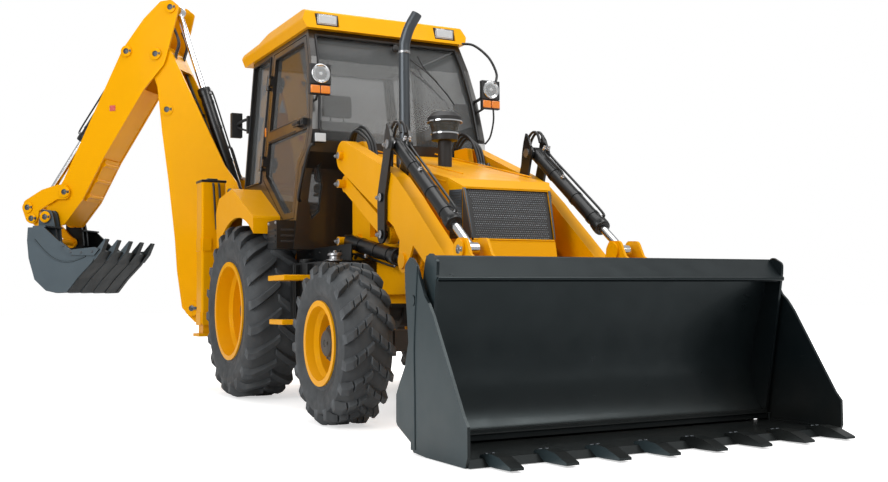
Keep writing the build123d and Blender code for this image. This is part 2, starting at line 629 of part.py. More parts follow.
def cab_roof():
    """The moulded roof, lower at the rear, hollow above the cab's top panel."""
    profile = [
        (-800, CAB_ROOF_Z), (-815, 2885, 20), (-390, 2900, 60), (-180, 2962, 80), (560, 2968, 60),
        (700, 2925, 30), (764, CAB_ROOF_Z),
    ]
    section = [
        (-668, CAB_ROOF_Z), (-694, 2850, 30), (-640, 2968, 50), (640, 2968, 50), (694, 2850, 30),
        (668, CAB_ROOF_Z),
    ]
    roof = slab(profile, (-760, 760)) & bar_x(section, (-900, 900))
    roof -= box((-560, 560), (-560, 560), (CAB_ROOF_Z - 5, 2860))
    for y in (-497, 497):
        roof -= box((650, 900), (y - 92, y + 92), (2805, 2905))
    return roof


nodes["cab_roof"] = cab_roof()

FENDER_OUT_Y, FENDER_T = 980, 22
FENDER_SIDE = [
    (-560, 1190), (-592, 1480, 60), (-500, 1592, 50), (-120, 1642, 40), (430, 1385, 30), (446, 1190),
]
ARCH_R = REAR_TYRE_R + 60


def fenders():
    """Both rear mudguards: a folded panel from the cab's side out over the tyre, with a round arch."""
    guard = slab(FENDER_SIDE, (700, FENDER_OUT_Y))
    inner = grown([point[:2] for point in FENDER_SIDE], -FENDER_T)
    inner[0], inner[-1] = (inner[0][0], 1100), (inner[-1][0], 1100)
    guard -= slab(inner, (600, FENDER_OUT_Y - FENDER_T))
    guard -= rod((0, 600, REAR_AXLE_Z), (0, FENDER_OUT_Y + 10, REAR_AXLE_Z), ARCH_R)
    return both(guard - cab_zone(1000, 2000))


nodes["fenders"] = fenders()


SEAT_X, SEAT_FLOOR_Z, SEAT_PIN_R = -70, 1480, 40


def seat():
    """The operator's seat: a turned pedestal, a pan, a cushion, a backrest, arms and a headrest."""
    x, z = SEAT_X, SEAT_FLOOR_Z
    base = rod((x, 0, z + 2), (x, 0, z + 60), 130)
    base += box((x - 190, x + 190), (-200, 200), (z + 55, z + 150))
    base += box((x - 225, x + 245), (-245, 245), (z + 150, z + 262))
    back = [(x - 230, z + 240), (x - 140, z + 240), (x - 195, z + 800, 30), (x - 300, z + 800, 30)]
    base += slab(back, (-235, 235))
    head = [(x - 305, z + 830, 30), (x - 210, z + 830, 30), (x - 225, z + 1030, 40), (x - 315, z + 1030, 40)]
    base += slab(head, (-135, 135))
    for y in (-60, 60):
        base += rod((x - 250, y, z + 780), (x - 258, y, z + 850), 8)
    for side in (-1, 1):
        base += box((x - 210, x + 120), span(side, 262, 318), (z + 430, z + 480))
        base += box((x - 215, x - 165), span(side, 230, 290), (z + 400, z + 470))
    return base - rod((x, 0, z), (x, 0, z + 45), SEAT_PIN_R + PIN_CLEAR)


nodes["operator_seat"] = seat()


def console():
    """The seat's step, its pivot, and the steering column with its wheel."""
    step = box((-500, 330), (-330, 330), (1130, SEAT_FLOOR_Z)) & cab_body(CAB_SIDE, CAB_WALL)
    step += rod((SEAT_X, 0, SEAT_FLOOR_Z - 5), (SEAT_X, 0, SEAT_FLOOR_Z + 40), SEAT_PIN_R)
    column = slab([(640, 1152), (790, 1152), (690, 1620, 20), (600, 1620, 20)], (-110, 110))
    column += box((620, 766), (-260, 260), (1152, 1200))
    wheel_at, lean = Vector(560, 0, 1830), Vector(-0.45, 0, 0.89)
    column += rod((645, 0, 1600), tuple(wheel_at), 22)
    column += Plane(wheel_at, z_dir=lean) * Torus(185, 14)
    for angle in (90, 210, 330):
        spoke = Rot(0, 0, angle) * (Pos(95, 0, 0) * Box(185, 22, 12))
        column += Plane(wheel_at, z_dir=lean) * spoke
    return Compound([*step.solids(), *(column & cab_body(CAB_SIDE, CAB_WALL)).solids()])


nodes["steering_console"] = console()


def lamps():
    """Roof lamps, headlamps on their arms over the indicators, the mirror and the marker boxes."""
    pieces = []
    for side in (-1, 1):
        pieces.append(box((650, 735), span(side, 407, 587), (2808, 2902)))
        lamp = box((1085, 1130), span(side, 632, 762), (2290, 2410))
        lamp += box((1085, 1125), span(side, 635, 765), (2215, 2282))
        lamp += box((1090, 1110), span(side, 680, 715), (2275, 2295))
        lamp += rod((1105, side * 697, 2350), (880, side * 650, 2285), 13)
        pieces.append(lamp)
        pieces.append(box((965, 1010), span(side, 612, 702), (1868, 1958)))
    return [piece - cab_body(CAB_SIDE, 0) for piece in pieces]


nodes["lamps"] = Compound([piece for shape in lamps() for piece in shape.solids()])

# ---- Hood --------------------------------------------------------------------------------------

HOOD_SIDE = [(1012, 1000), (1012, 1822), (2430, 1488), (2517, 1432), (2604, 1087), (2624, 1000)]
HOOD_PLAN = [(1000, 386), (2430, 367), (2520, 312), (2640, 284)]
HOOD_WALL = 12
GRILLE_Z, GRILLE_Y = (1098, 1418), 296


def hood_mass(shrink, low):
    """The hood's outer form made smaller by `shrink` on every side and open below `low`."""
    side = grown(HOOD_SIDE, -shrink)
    side[0], side[-1] = (side[0][0], low), (side[-1][0] + 10, low)
    plan = [(x, y - shrink) for x, y in HOOD_PLAN]
    return slab(side, (-500, 500)) & slice_up(plan + [(x, -y) for x, y in reversed(plan)], (500, 2000))


def hood():
    """The engine hood: a sloping folded shell, open below, with lugs on its front hinge pins."""
    shell = hood_mass(0, HOOD_SIDE[0][1]) - hood_mass(HOOD_WALL, 900)
    shell = shell & box((1000, 2700), (-500, 500), (HOOD_SIDE[0][1], 2000))
    shell -= box((2440, 2700), (-GRILLE_Y, GRILLE_Y), GRILLE_Z)
    x, z = HOOD_HINGE
    for side in (-1, 1):
        lug = rod((x, side * 258, z), (x, side * 276, z), 26)
        lug += box((x, x + 52), span(side, 258, 276), (z - 12, z + 26))
        lug -= rod((x, side * 240, z), (x, side * 290, z), HOOD_PIN_R + PIN_CLEAR)
        shell += lug
    return shell


nodes["hood"] = hood()
grille = hood_mass(HOOD_WALL, 900) - hood_mass(HOOD_WALL + 10, 800)
grille_y, grille_z = (-GRILLE_Y - 8, GRILLE_Y + 8), (GRILLE_Z[0] - 9, GRILLE_Z[1] + 9)
nodes["front_grille"] = grille & box((2445, 2700), grille_y, grille_z)


EXHAUST_AT, CLEANER_AT = (1720, -325), (1680, 0)


def hood_top(x):
    """Height of the hood's top at x."""
    (x0, z0), (x1, z1) = HOOD_SIDE[1], HOOD_SIDE[2]
    return z0 + (z1 - z0) * (x - x0) / (x1 - x0)


def exhaust():
    """The exhaust stack: a collar on the hood, a straight pipe and a curved, slant-cut outlet."""
    x, y = EXHAUST_AT
    low = hood_top(x) - 60
    bend = ThreePointArc((x, y, 2430), (x + 24, y, 2545), (x + 105, y, 2650))
    path = Line((x, y, low), (x, y, 2430)) + bend
    pipe = sweep(Plane((x, y, low)) * Circle(42), path=Wire(path.edges()))
    pipe += rod((x, y, low), (x, y, low + 150), 58)
    pipe -= box((x - 100, x + 300), (y - 100, y + 100), (2640, 2800))
    pipe -= rod((x + 78, y, 2612), (x + 145, y, 2706), 34)
    return pipe & (box((x - 200, x + 300), (y - 200, y + 200), (1850, 3000)) + hood_cap(x, y, 80, 1850))


def hood_cap(x, y, radius, top):
    """A zone round (x, y) that starts on the hood's sloping top and ends at the height `top`."""
    rear, front = x - 150, x + 150
    zone = [(rear, hood_top(rear)), (rear, top), (front, top), (front, hood_top(front))]
    return slab(zone, (y - radius, y + radius))


def precleaner():
    """The air pre-cleaner: neck, ring, bowl and domed lid."""
    x, y = CLEANER_AT
    points = [
        (0, 1600), (48, 1600), (48, 1835), (92, 1842), (92, 1885), (84, 1890), (106, 1965), (120, 1968),
        (120, 2000), (80, 2036), (0, 2042),
    ]
    face = outline(points, lambda u, v, *_: (x + u, y, v))
    body = revolve(face, axis=Axis((x, y, 0), (0, 0, 1)))
    return body & (box((x - 200, x + 200), (y - 200, y + 200), (1840, 2100)) + hood_cap(x, y, 90, 1841))


nodes["exhaust_stack"] = exhaust()
nodes["air_precleaner"] = precleaner()

# ---- Loader linkage ----------------------------------------------------------------------------

EYE_W = 56                   # width of a loader ram's eyes
LIFT_BARREL_R, LIFT_ROD_R, LIFT_BARREL_L, LIFT_INSIDE = 50, 28, 850, 750
CROWD_BARREL_R, CROWD_ROD_R, CROWD_BARREL_L, CROWD_INSIDE = 45, 25, 940, 450
ARM_SIDE = [
    (1229, 1866), (1930, 1600), (2100, 1520), (2300, 1374), (2410, 1283), (2600, 1134), (2815, 960),
    (2970, 718), (2822, 625), (2700, 815), (2345, 1075), (2272, 965), (2130, 965), (2150, 1115),
    (2060, 1210), (1860, 1310), (1160, 1668),
]


def pin_bore(at, radius=PIN_R):
    """A round cutter along Y for a pin of the given radius, with its running clearance."""
    return pin(at, radius + PIN_CLEAR, (-1200, 1200))


def loader_arms():
    """Both loader arms, hollow and open below for the levelling links, joined by the cross tube."""
    arm = slab(ARM_SIDE, (ARM_IN, ARM_OUT))
    for at, radius in ((ARM_PIVOT, 105), (HINGE_PIN, 90), (LIFT_RAM_EYE, 75)):
        arm += pin(at, radius, (ARM_IN, ARM_OUT))
    inside = (ARM_IN + ARM_PLATE, ARM_OUT - ARM_PLATE)
    arm -= slab(grown(ARM_SIDE, -ARM_PLATE), inside)
    arm -= slab([(1060, 1120), (1060, 1745), (1200, 1745), (1990, 1352), (1990, 1120)], inside)
    x, z = LIFT_RAM_EYE
    ram_room = [
        (x - 260, z - 120), (x - 260, z + 150), (x + 40, z + 210), (x + 160, z + 90), (x + 160, z - 120),
    ]
    arm -= slab(ram_room, inside)
    arm -= pin(ARM_PIVOT, 93, inside)
    arm += pin(ARM_PIVOT, 62, (ARM_IN, ARM_OUT)) + pin(HINGE_PIN, 90, (ARM_IN, ARM_OUT))
    arm += pin(ROCKER_MID, 52, (ARM_IN, ARM_OUT))
    arm += pin(LIFT_RAM_EYE, 48, (ARM_OUT - 2, ARM_OUT + 14))
    arm += pin(LIFT_RAM_EYE, 48, (ARM_IN - 14, ARM_IN + 2))
    arm -= pin_bore(ARM_PIVOT) + pin_bore(ROCKER_MID) + pin_bore(HINGE_PIN)
    arms = both(arm)
    arms += pin((2690, 870), 45, (-ARM_IN - 2, ARM_IN + 2))
    return arms


def level_links():
    """The levelling links under the arms; each one's front eye carries its own short pin."""
    low, high = ARM_Y - LINK_W / 2, ARM_Y + LINK_W / 2
    (bx, bz), (nx, nz) = LINK_PIVOT, ROCKER_LOW
    bar = slab(strip([(bx, bz), (nx, nz)], 104), (low, high))
    bar += pin(LINK_PIVOT, 60, (low, high)) + pin(ROCKER_LOW, 60, (low, high))
    return both(bar - pin_bore(LINK_PIVOT))


(LOW_X, LOW_Z), (MID_X, MID_Z), (TOP_X, TOP_Z) = ROCKER_LOW, ROCKER_MID, ROCKER_TOP
ROCKER = [
    (LOW_X - 54, LOW_Z), (LOW_X - 54, MID_Z + 20), (TOP_X - 78, TOP_Z - 70), (TOP_X - 62, TOP_Z + 20),
    (TOP_X - 44, TOP_Z + 80), (TOP_X - 18, TOP_Z + 138), (TOP_X + 22, TOP_Z + 92), (TOP_X + 44, TOP_Z + 40),
    (TOP_X + 50, TOP_Z - 20), (LOW_X + 62, MID_Z + 10), (LOW_X + 54, LOW_Z),
]
PIN_END = 10                 # how far a pin stands proud of the outer plate


def rocker_levers():
    """The rockers: two plates each side with their middle and low pins, and horned tops."""
    lever = None
    for y in (INNER_PLATE_Y, OUTER_PLATE_Y):
        plate = slab(ROCKER, y) + pin(ROCKER_LOW, 58, y) + pin(ROCKER_TOP, 62, y)
        plate -= pin_bore(ROCKER_TOP)
        lever = plate if lever is None else lever + plate
    lever += pin(ROCKER_MID, PIN_R, (INNER_PLATE_Y[0], OUTER_PLATE_Y[1] + PIN_END))
    lever += pin(ROCKER_LOW, PIN_R, (INNER_PLATE_Y[0], ARM_Y - LINK_W / 2 - MOVE_CLEAR))
    lever += pin(ROCKER_LOW, PIN_R, (ARM_Y + LINK_W / 2 + MOVE_CLEAR, OUTER_PLATE_Y[1] + PIN_END))
    return both(lever)


nodes["loader_arms"] = loader_arms()
nodes["level_links"] = level_links()
nodes["rocker_levers"] = rocker_levers()
pin_ends = (INNER_PLATE_Y[0] - PIN_END, OUTER_PLATE_Y[1] + PIN_END)
nodes["crowd_ram_pins"] = both(pin(ROCKER_TOP, PIN_R, pin_ends))
nodes["bucket_pins"] = both(pin(HINGE_PIN, PIN_R, pin_ends))
barrel, piston = ram(
    LIFT_RAM_BASE, LIFT_RAM_EYE, ARM_Y, LIFT_BARREL_R, LIFT_ROD_R, LIFT_BARREL_L, LIFT_INSIDE, EYE_W, PIN_R
)
nodes["lift_ram_barrels"], nodes["lift_ram_rods"] = both(barrel), both(piston)
barrel, piston = ram(
    ROCKER_TOP, CROWD_PIN, ARM_Y, CROWD_BARREL_R, CROWD_ROD_R, CROWD_BARREL_L, CROWD_INSIDE, EYE_W, PIN_R
)
nodes["crowd_ram_barrels"], nodes["crowd_ram_rods"] = both(barrel), both(piston)

# ---- Loader bucket -----------------------------------------------------------------------------

BACK_LINE = [
    (3704, 838), (3604, 940), (3556, 800), (3490, 600), (3436, 420), (3416, 300), (3436, 170), (3516, 62),
]
BACK_HALF_W = BUCKET_HALF_W - 42
CLAM_PIN_R = 25
FLOOR_T = 16


def bucket_back():
    """The bucket's mouldboard with its lip band, end plates, bottom bar and clam pivots."""
    back = slab(strip(BACK_LINE, BUCKET_PLATE), (-BACK_HALF_W, BACK_HALF_W))
    back += slab(strip(BACK_LINE[:2], 30), (-BACK_HALF_W, BACK_HALF_W))
    back += box((3508, 3556), (-BACK_HALF_W, BACK_HALF_W), (46, 92))
    end = [
        (3516, 58), (3436, 168), (3412, 300), (3432, 420), (3486, 600), (3552, 800), (3590, 935, 20),
        (3640, 968, 30), (3712, 930, 30), (3708, 872), (3556, 90), (3556, 58),
    ]
    back += both(slab(end, (BACK_HALF_W - 15, BACK_HALF_W)))
    back += both(pin(CLAM_PIVOT, CLAM_PIN_R, (BACK_HALF_W - 5, BUCKET_HALF_W + 6)))
    back += both(pin(CLAM_PIVOT, 48, (BACK_HALF_W - 5, BACK_HALF_W + 20)))
    return back


def bucket_clam():
    """The front clam: side plates on the pivots, the floor, the cutting edge and its teeth."""
    side = [
        (3447, 912, 30), (3450, 800), (3467, 670), (3481, 535), (3440, 417), (3370, 324), (3335, 273, 20),
        (3333, 127, 30), (3504, 53), (3527, 10), (3664, 2), (4050, 2), (4073, 53), (4073, 184), (4035, 226),
        (3749, 667), (3700, 726), (3662, 759), (3574, 908), (3511, 955, 30),
    ]
    inner = BUCKET_HALF_W - BUCKET_PLATE
    clam = both(slab(side, (inner, BUCKET_HALF_W)))
    clam += box((3500, 4000), (-inner - 2, inner + 2), (18, 18 + FLOOR_T))
    edge = [(3960, 1), (3960, 34), (CUTTING_EDGE_X - 30, 34), (CUTTING_EDGE_X + 20, 2)]
    clam += slab(edge, (-inner - 2, inner + 2))
    for i in range(TOOTH_COUNT):
        y = (i - (TOOTH_COUNT - 1) / 2) * TOOTH_PITCH
        tooth = [
            (3975, 30), (3985, 48), (4075, 62), (4150, 54), (TOOTH_TIP_X, 20), (TOOTH_TIP_X, 8),
            (4130, 4), (4040, 4),
        ]
        clam += slab(tooth, (y - 34, y + 34))
    clam -= both(pin(CLAM_PIVOT, CLAM_PIN_R + PIN_CLEAR, (inner - 5, BUCKET_HALF_W + 5)))
    return clam


def hitch():
    """The bucket's hitch: a pair of plates round each arm's end, carried down the mouldboard."""
    sx, sz = HINGE_PIN
    px, pz = CROWD_PIN
    plate = [
        (sx - 62, sz - 45, 30), (sx - 70, sz + 60), (px - 68, pz + 20), (px - 50, pz + 68, 40),
        (px + 60, pz + 62, 40), (px + 110, pz - 30), (3290, 900), (3640, 860), (3640, 400), (3380, 300),
        (3180, 380), (sx + 60, sz - 78),
    ]
    pair = slab(plate, INNER_PLATE_Y) + slab(plate, OUTER_PLATE_Y)
    for y in (INNER_PLATE_Y, OUTER_PLATE_Y):
        pair += pin(HINGE_PIN, 78, y)
    pair += pin(CROWD_PIN, 56, (INNER_PLATE_Y[0] - 16, INNER_PLATE_Y[0] + 2))
    pair += pin(CROWD_PIN, 56, (OUTER_PLATE_Y[1] - 2, OUTER_PLATE_Y[1] + 16))
    pair -= pin_bore(HINGE_PIN)
    ties = [(3300, 700), (3390, 700), (3390, 820), (3300, 820)]
    pair += slab(ties, (INNER_PLATE_Y[0], OUTER_PLATE_Y[1]))
    frame = both(pair) + slab([(3310, 430), (3380, 430), (3380, 560), (3310, 560)], (-500, 500))
    frame += pin((3345, 760), 45, (-INNER_PLATE_Y[1], INNER_PLATE_Y[1]))
    rear_side = strip(BACK_LINE, BUCKET_PLATE)
    count = len(BACK_LINE)
    first, second = rear_side[:count], rear_side[count:][::-1]
    touching = first if first[3][0] < second[3][0] else second
    zone = touching[1:] + [(4000, touching[-1][1]), (4000, 1000), (touching[1][0], 1000)]
    return frame - slab(zone, (-900, 900))


nodes["bucket_back"] = bucket_back()
nodes["bucket_clam"] = bucket_clam()
nodes["hitch_frame"] = hitch()

# ---- Carriage, kingpost and excavator arm ------------------------------------------------------

KING_R, KING_PIN_R = 120, 45
KING_LOW_Z, KING_HIGH_Z = (360, 460), (905, 1005)
ARM_PIN_R = 34               # excavator arm pins
CARRIAGE_X = (FRAME_X[0] - 50, FRAME_X[0] - 10)


def carriage():
    """The side-shift carriage: a plate hooked on both beams, with the kingpost's two bosses."""
    y = (SLEW_Y - CARRIAGE_HALF_W, SLEW_Y + CARRIAGE_HALF_W)
    face = FRAME_X[0]
    plate = box(CARRIAGE_X, y, (380, 1160))
    plate += box((CARRIAGE_X[1] - 2, face - PIN_CLEAR), (SLEW_Y - 200, SLEW_Y + 200), (430, 530))
    plate += box((CARRIAGE_X[1] - 2, face - PIN_CLEAR), (SLEW_Y - 200, SLEW_Y + 200), (1010, 1110))
    for sign in (-1, 1):
        hook = (SLEW_Y + sign * 150 - 50, SLEW_Y + sign * 150 + 50)
        plate += box((CARRIAGE_X[1] - 2, face + 70), hook, (FRAME_TOP_Z[1] + 5, FRAME_TOP_Z[1] + 34))
        plate += box((CARRIAGE_X[1] - 2, face + 70), hook, (FRAME_LOW_Z[0] - 32, FRAME_LOW_Z[0] - 5))
    for low, high in (KING_LOW_Z, KING_HIGH_Z):
        plate += rod((SLEW_X, SLEW_Y, low), (SLEW_X, SLEW_Y, high), KING_R)
        web = [
            (SLEW_X, SLEW_Y - KING_R), (SLEW_X + 175, SLEW_Y - KING_R), (CARRIAGE_X[0] + 5, SLEW_Y - 230),
            (CARRIAGE_X[0] + 5, SLEW_Y + 230), (SLEW_X + 175, SLEW_Y + KING_R), (SLEW_X, SLEW_Y + KING_R),
        ]
        plate += slice_up(web, (low, high))
        plate -= rod((SLEW_X, SLEW_Y, low - 5), (SLEW_X, SLEW_Y, high + 5), KING_PIN_R + PIN_CLEAR)
    for y in (SLEW_Y - 215, SLEW_Y + 215):
        plate += box((CARRIAGE_X[0] - 120, CARRIAGE_X[0] + 5), (y - 12, y + 12), (440, 925))
    return plate


nodes["carriage"] = carriage()


def placed(shape):
    """Move a shape from the excavator arm's own plane to its place behind the machine."""
    return Pos(SLEW_X, SLEW_Y, 0) * Rot(0, 0, 180 + SLEW_ANGLE) * shape


def kingpost():
    """The slewing kingpost: its pins, the boom's foot lug and pin, and the boom ram's fork."""
    post = rod((0, 0, KING_LOW_Z[0] - 12), (0, 0, KING_HIGH_Z[1] + 12), KING_PIN_R)
    post += rod((0, 0, KING_LOW_Z[1] + 5), (0, 0, KING_HIGH_Z[0] - 5), KING_R)
    fx, fz = BOOM_FOOT
    vx, vz = BOOM_RAM_BASE
    body = [
        (0, 475), (fx - 10, 560), (fx + 62, fz - 60, 40), (fx + 66, fz + 60, 40), (262, 900),
        (vx + 58, vz), (vx - 56, vz), (140, 885), (0, 885),
    ]
    post += slab(body, (-112, 112)) + pin(BOOM_RAM_BASE, 58, (-112, 112))
    post -= box((138, 330), (-62, 62), (905, 1200))
    post += pin(BOOM_RAM_BASE, ARM_PIN_R, (-114, 114))
    post += pin(BOOM_FOOT, ARM_PIN_R, (-BOOM_HALF_W - 12, BOOM_HALF_W + 12))
    return placed(post)


BOOM = [
    (302, 606, 20), (392, 690, 40), (444, 1028), (467, 1327), (534, 1870), (602, 2337), (648, 2745),
    (748, 3020, 60), (708, 3136, 60), (590, 3146, 60), (508, 3062), (-24, 1981), (-140, 1828, 60),
    (-172, 1720, 60), (-115, 1652, 40), (28, 1496), (196, 760), (222, 640, 30),
]


def boom():
    """The boom: two plates joined by the outer web and the boxed head, open towards the machine."""
    shape = slab(BOOM, (-BOOM_HALF_W, BOOM_HALF_W))
    width = (-BOOM_HALF_W + BOOM_PLATE, BOOM_HALF_W - BOOM_PLATE)
    channel = [
        (100, 500), (372, 500), (372, 720), (424, 1031), (447, 1330), (514, 1873), (582, 2340), (612, 2620),
        (560, 2900), (380, 2900), (-400, 2300), (-400, 1500),
    ]
    shape -= slab(channel, width)
    shape -= slab([(580, 2935), (700, 2935), (700, 3100), (540, 3100)], width)
    shape -= box((150, 520), width, (550, 800))
    dx, dz = BOOM_HEAD
    shape += pin(BOOM_HEAD, 78, (-BOOM_HALF_W, BOOM_HALF_W))
    shape += pin(DIPPER_RAM_BASE, ARM_PIN_R, (-BOOM_HALF_W - 10, BOOM_HALF_W + 10))
    for side in (-1, 1):
        for at, radius in ((BOOM_RAM_EYE, 62), (DIPPER_RAM_BASE, 62), (BOOM_FOOT, 70)):
            shape += pin(at, radius, span(side, BOOM_HALF_W - 2, BOOM_HALF_W + 8))
        shape += pin(DIPPER_RAM_BASE, 50, span(side, 56, BOOM_HALF_W - BOOM_PLATE + 2))
    shape -= pin(BOOM_FOOT, ARM_PIN_R + PIN_CLEAR, (-BOOM_HALF_W - 20, BOOM_HALF_W + 20))
    shape += pin(BOOM_HEAD, ARM_PIN_R + 4, (-DIPPER_HALF_W - 14, DIPPER_HALF_W + 14))
    return placed(shape)


DIPPER = [
    (503, 3550, 30), (424, 3484, 30), (460, 3333), (551, 3004), (573, 2944), (773, 2721), (1186, 2086),
    (1396, 1704), (1586, 1474, 30), (1668, 1476, 40), (1775, 1560, 50), (1745, 1660), (1711, 1718),
    (1590, 1905), (1039, 3018), (990, 3116), (780, 3386), (609, 3541, 30),
]
LEVER_IN_N = DIPPER_HALF_W + 5
LEVER_T, LINK_T = 24, 25
EAR_INNER, EAR_OUTER = (178, 203), (250, 275)
HOE_PIN_N = 300


def dipper():
    """The dipper: two plates with an underside web, the tail, its wear block and the arm's pins."""
    width = (-DIPPER_HALF_W + DIPPER_PLATE, DIPPER_HALF_W - DIPPER_PLATE)
    shape = slab(DIPPER, (-DIPPER_HALF_W, DIPPER_HALF_W)) - slab(grown(DIPPER, 60), width)
    full = (width[0] - 2, width[1] + 2)
    underside = [(787, 2729), (1200, 2096), (1410, 1713), (1598, 1487)]
    shape += slab(strip(underside, 20), full)
    shape += slab([(772, 3392), (608, 3538), (594, 3522), (757, 3377)], full)
    shape += slab([(1240, 2180), (1340, 2000), (1356, 2010), (1256, 2190)], full)
    block = slab([(1176, 2081), (1386, 1699), (1398, 1705), (1188, 2088)], (-120, 120))
    for share in (0.12, 0.5, 0.88):
        x, z = 1181 + 210 * share, 2084 - 382 * share
        block += rod((x, -120, z), (x, 120, z), 20)
    shape += block
    for side in (-1, 1):
        for at, radius in ((DIPPER_RAM_EYE, 55), (BUCKET_RAM_BASE, 55)):
            shape += pin(at, radius, span(side, DIPPER_HALF_W - 2, DIPPER_HALF_W + 12))
        shape += pin(BUCKET_RAM_BASE, 48, span(side, 56, width[1] + 2))
        hub = span(side, 100, width[1] + 2)
        shape += pin(LEVER_PIVOT, 46, hub) + pin(BUCKET_PIVOT, 56, hub)
        shape += pin(BUCKET_PIVOT, 72, span(side, 150, DIPPER_HALF_W))
    shape -= pin(BOOM_HEAD, ARM_PIN_R + 4 + PIN_CLEAR, (-DIPPER_HALF_W - 20, DIPPER_HALF_W + 20))
    shape += pin(BUCKET_RAM_BASE, ARM_PIN_R, (-DIPPER_HALF_W - 14, DIPPER_HALF_W + 14))
    outer = LEVER_IN_N + LEVER_T + 8
    shape += pin(LEVER_PIVOT, ARM_PIN_R, (-outer, outer))
    shape += pin(BUCKET_PIVOT, ARM_PIN_R, (-HOE_PIN_N, HOE_PIN_N))
    return placed(shape)


LEVER = [
    (1520, 1812, 20), (1560, 1858, 30), (1641, 1856, 30), (1802, 1813), (1985, 1712, 40), (2006, 1640, 40),
    (1960, 1520, 40), (1880, 1482, 40), (1836, 1560, 20), (1829, 1618, 20), (1640, 1719), (1520, 1716, 40),
]


def tip_lever():
    """The tipping lever: a plate each side of the dipper's end, joined by the link's pin."""
    shape = None
    for low, high in ((-LEVER_IN_N - LEVER_T, -LEVER_IN_N), (LEVER_IN_N, LEVER_IN_N + LEVER_T)):
        plate = slab(LEVER, (low, high)) - pin(LEVER_PIVOT, ARM_PIN_R + PIN_CLEAR, (low - 5, high + 5))
        shape = plate if shape is None else shape + plate
    outer = LEVER_IN_N + LEVER_T
    shape += pin(LEVER_LINK_PIN, 28, (-outer - 8, outer + 8))
    for side in (-1, 1):
        shape += pin(LEVER_RAM_PIN, 50, span(side, outer - 2, outer + 10))
    return placed(shape)


def bucket_link():
    """The bucket link: a bar each side from the lever's pin, joined by its own pin at the far end."""
    low, high = LEVER_IN_N - 6 - LINK_T, LEVER_IN_N - 6
    shape = None
    for y in ((low, high), (-high, -low)):
        bar = slab(strip([LEVER_LINK_PIN, BUCKET_LINK_PIN], 74), y)
        bar += pin(LEVER_LINK_PIN, 50, y) + pin(BUCKET_LINK_PIN, 50, y)
        shape = bar if shape is None else shape + bar
    shape += pin(LEVER_LINK_PIN, 46, (-high, high)) + pin(BUCKET_LINK_PIN, 28, (-high, high))
    return placed(shape - pin(LEVER_LINK_PIN, 28 + PIN_CLEAR, (-220, 220)))


HOE_BACK = [
    (1764, 1430), (1770, 1320), (1752, 1160), (1690, 965), (1580, 868), (1478, 846), (1372, 850), (1267, 975),
    (1127, 1112), (1056, 1216),
]
HOE_SIDE = [
    (1770, 1440), (1777, 1320), (1759, 1158), (1696, 960), (1583, 861), (1479, 839), (1369, 842), (1262, 970),
    (1122, 1107), (1048, 1216), (1090, 1232), (1329, 1215), (1462, 1316), (1607, 1440),
]


def hoe_bucket():
    """The excavator bucket: a bent shell, side plates and cutters, ears with the link pin, teeth."""
    shape = slab(strip(HOE_BACK, 14), (-HOE_HALF_W, HOE_HALF_W))
    plates = both(slab(HOE_SIDE, (HOE_HALF_W - 16, HOE_HALF_W)))
    shape += plates
    # The pocket between the ears leaves room for the link's end and bars over the whole tip.
    pocket = [(1628, 1500), (1628, 1268), (1660, 1236), (1735, 1055), (1900, 1055), (1900, 1500)]
    shape -= slab(pocket, (-EAR_INNER[0], EAR_INNER[0]))
    ear = [
        (1632, 1560, 30), (1650, 1612, 40), (1760, 1612, 50), (1782, 1500), (1776, 1320), (1740, 1150),
        (1640, 1190), (1590, 1300), (1606, 1440),
    ]
    for low, high in (EAR_INNER, EAR_OUTER):
        shape += both(slab(ear, (low, high)))
    shape += both(slab([(1590, 1440), (1720, 1440), (1720, 1454), (1590, 1454)], (EAR_INNER[0], HOE_HALF_W)))
    cutter = [
        (1040, 1228), (1090, 1170), (1330, 1180), (1440, 1275), (1430, 1310), (1329, 1226), (1090, 1246),
    ]
    shape += both(slab(cutter, (HOE_HALF_W - 2, HOE_HALF_W + 16)))
    for i in range(HOE_TEETH):
        y = (i / (HOE_TEETH - 1) - 0.5) * HOE_TOOTH_SPAN
        tooth = [(1092, 1130), (1122, 1152), (1075, 1232), (992, 1322), (982, 1316), (1030, 1205)]
        shape += slab(tooth, (y - 32, y + 32))
    shape -= pin(BUCKET_PIVOT, ARM_PIN_R + PIN_CLEAR, (-HOE_PIN_N - 10, HOE_PIN_N + 10))
    shape += both(pin(BUCKET_LINK_PIN, 28, (EAR_INNER[0], HOE_PIN_N - 12)))
    return placed(shape)


nodes["kingpost"] = kingpost()
nodes["boom"] = boom()
nodes["dipper"] = dipper()
nodes["tip_lever"] = tip_lever()
nodes["bucket_link"] = bucket_link()
nodes["hoe_bucket"] = hoe_bucket()

HOE_RAMS = {
    # name: (base pin, eye, barrel radius, rod radius, barrel length, rod length inside, eye width)
    "boom_ram": (BOOM_RAM_BASE, BOOM_RAM_EYE, 60, 32, 950, 720, 104),
    "dipper_ram": (DIPPER_RAM_BASE, DIPPER_RAM_EYE, 55, 30, 1040, 70, 96),
    "bucket_ram": (BUCKET_RAM_BASE, LEVER_RAM_PIN, 50, 27, 976, 100, 96),
}
for name, (base, eye, barrel_r, rod_r, length, inside, eye_w) in HOE_RAMS.items():
    barrel, piston = ram(base, eye, 0, barrel_r, rod_r, length, inside, eye_w, ARM_PIN_R)
    nodes[name + "_barrel"], nodes[name + "_rod"] = placed(barrel), placed(piston)

# ---- Shift to the shared origin and export -----------------------------------------------------

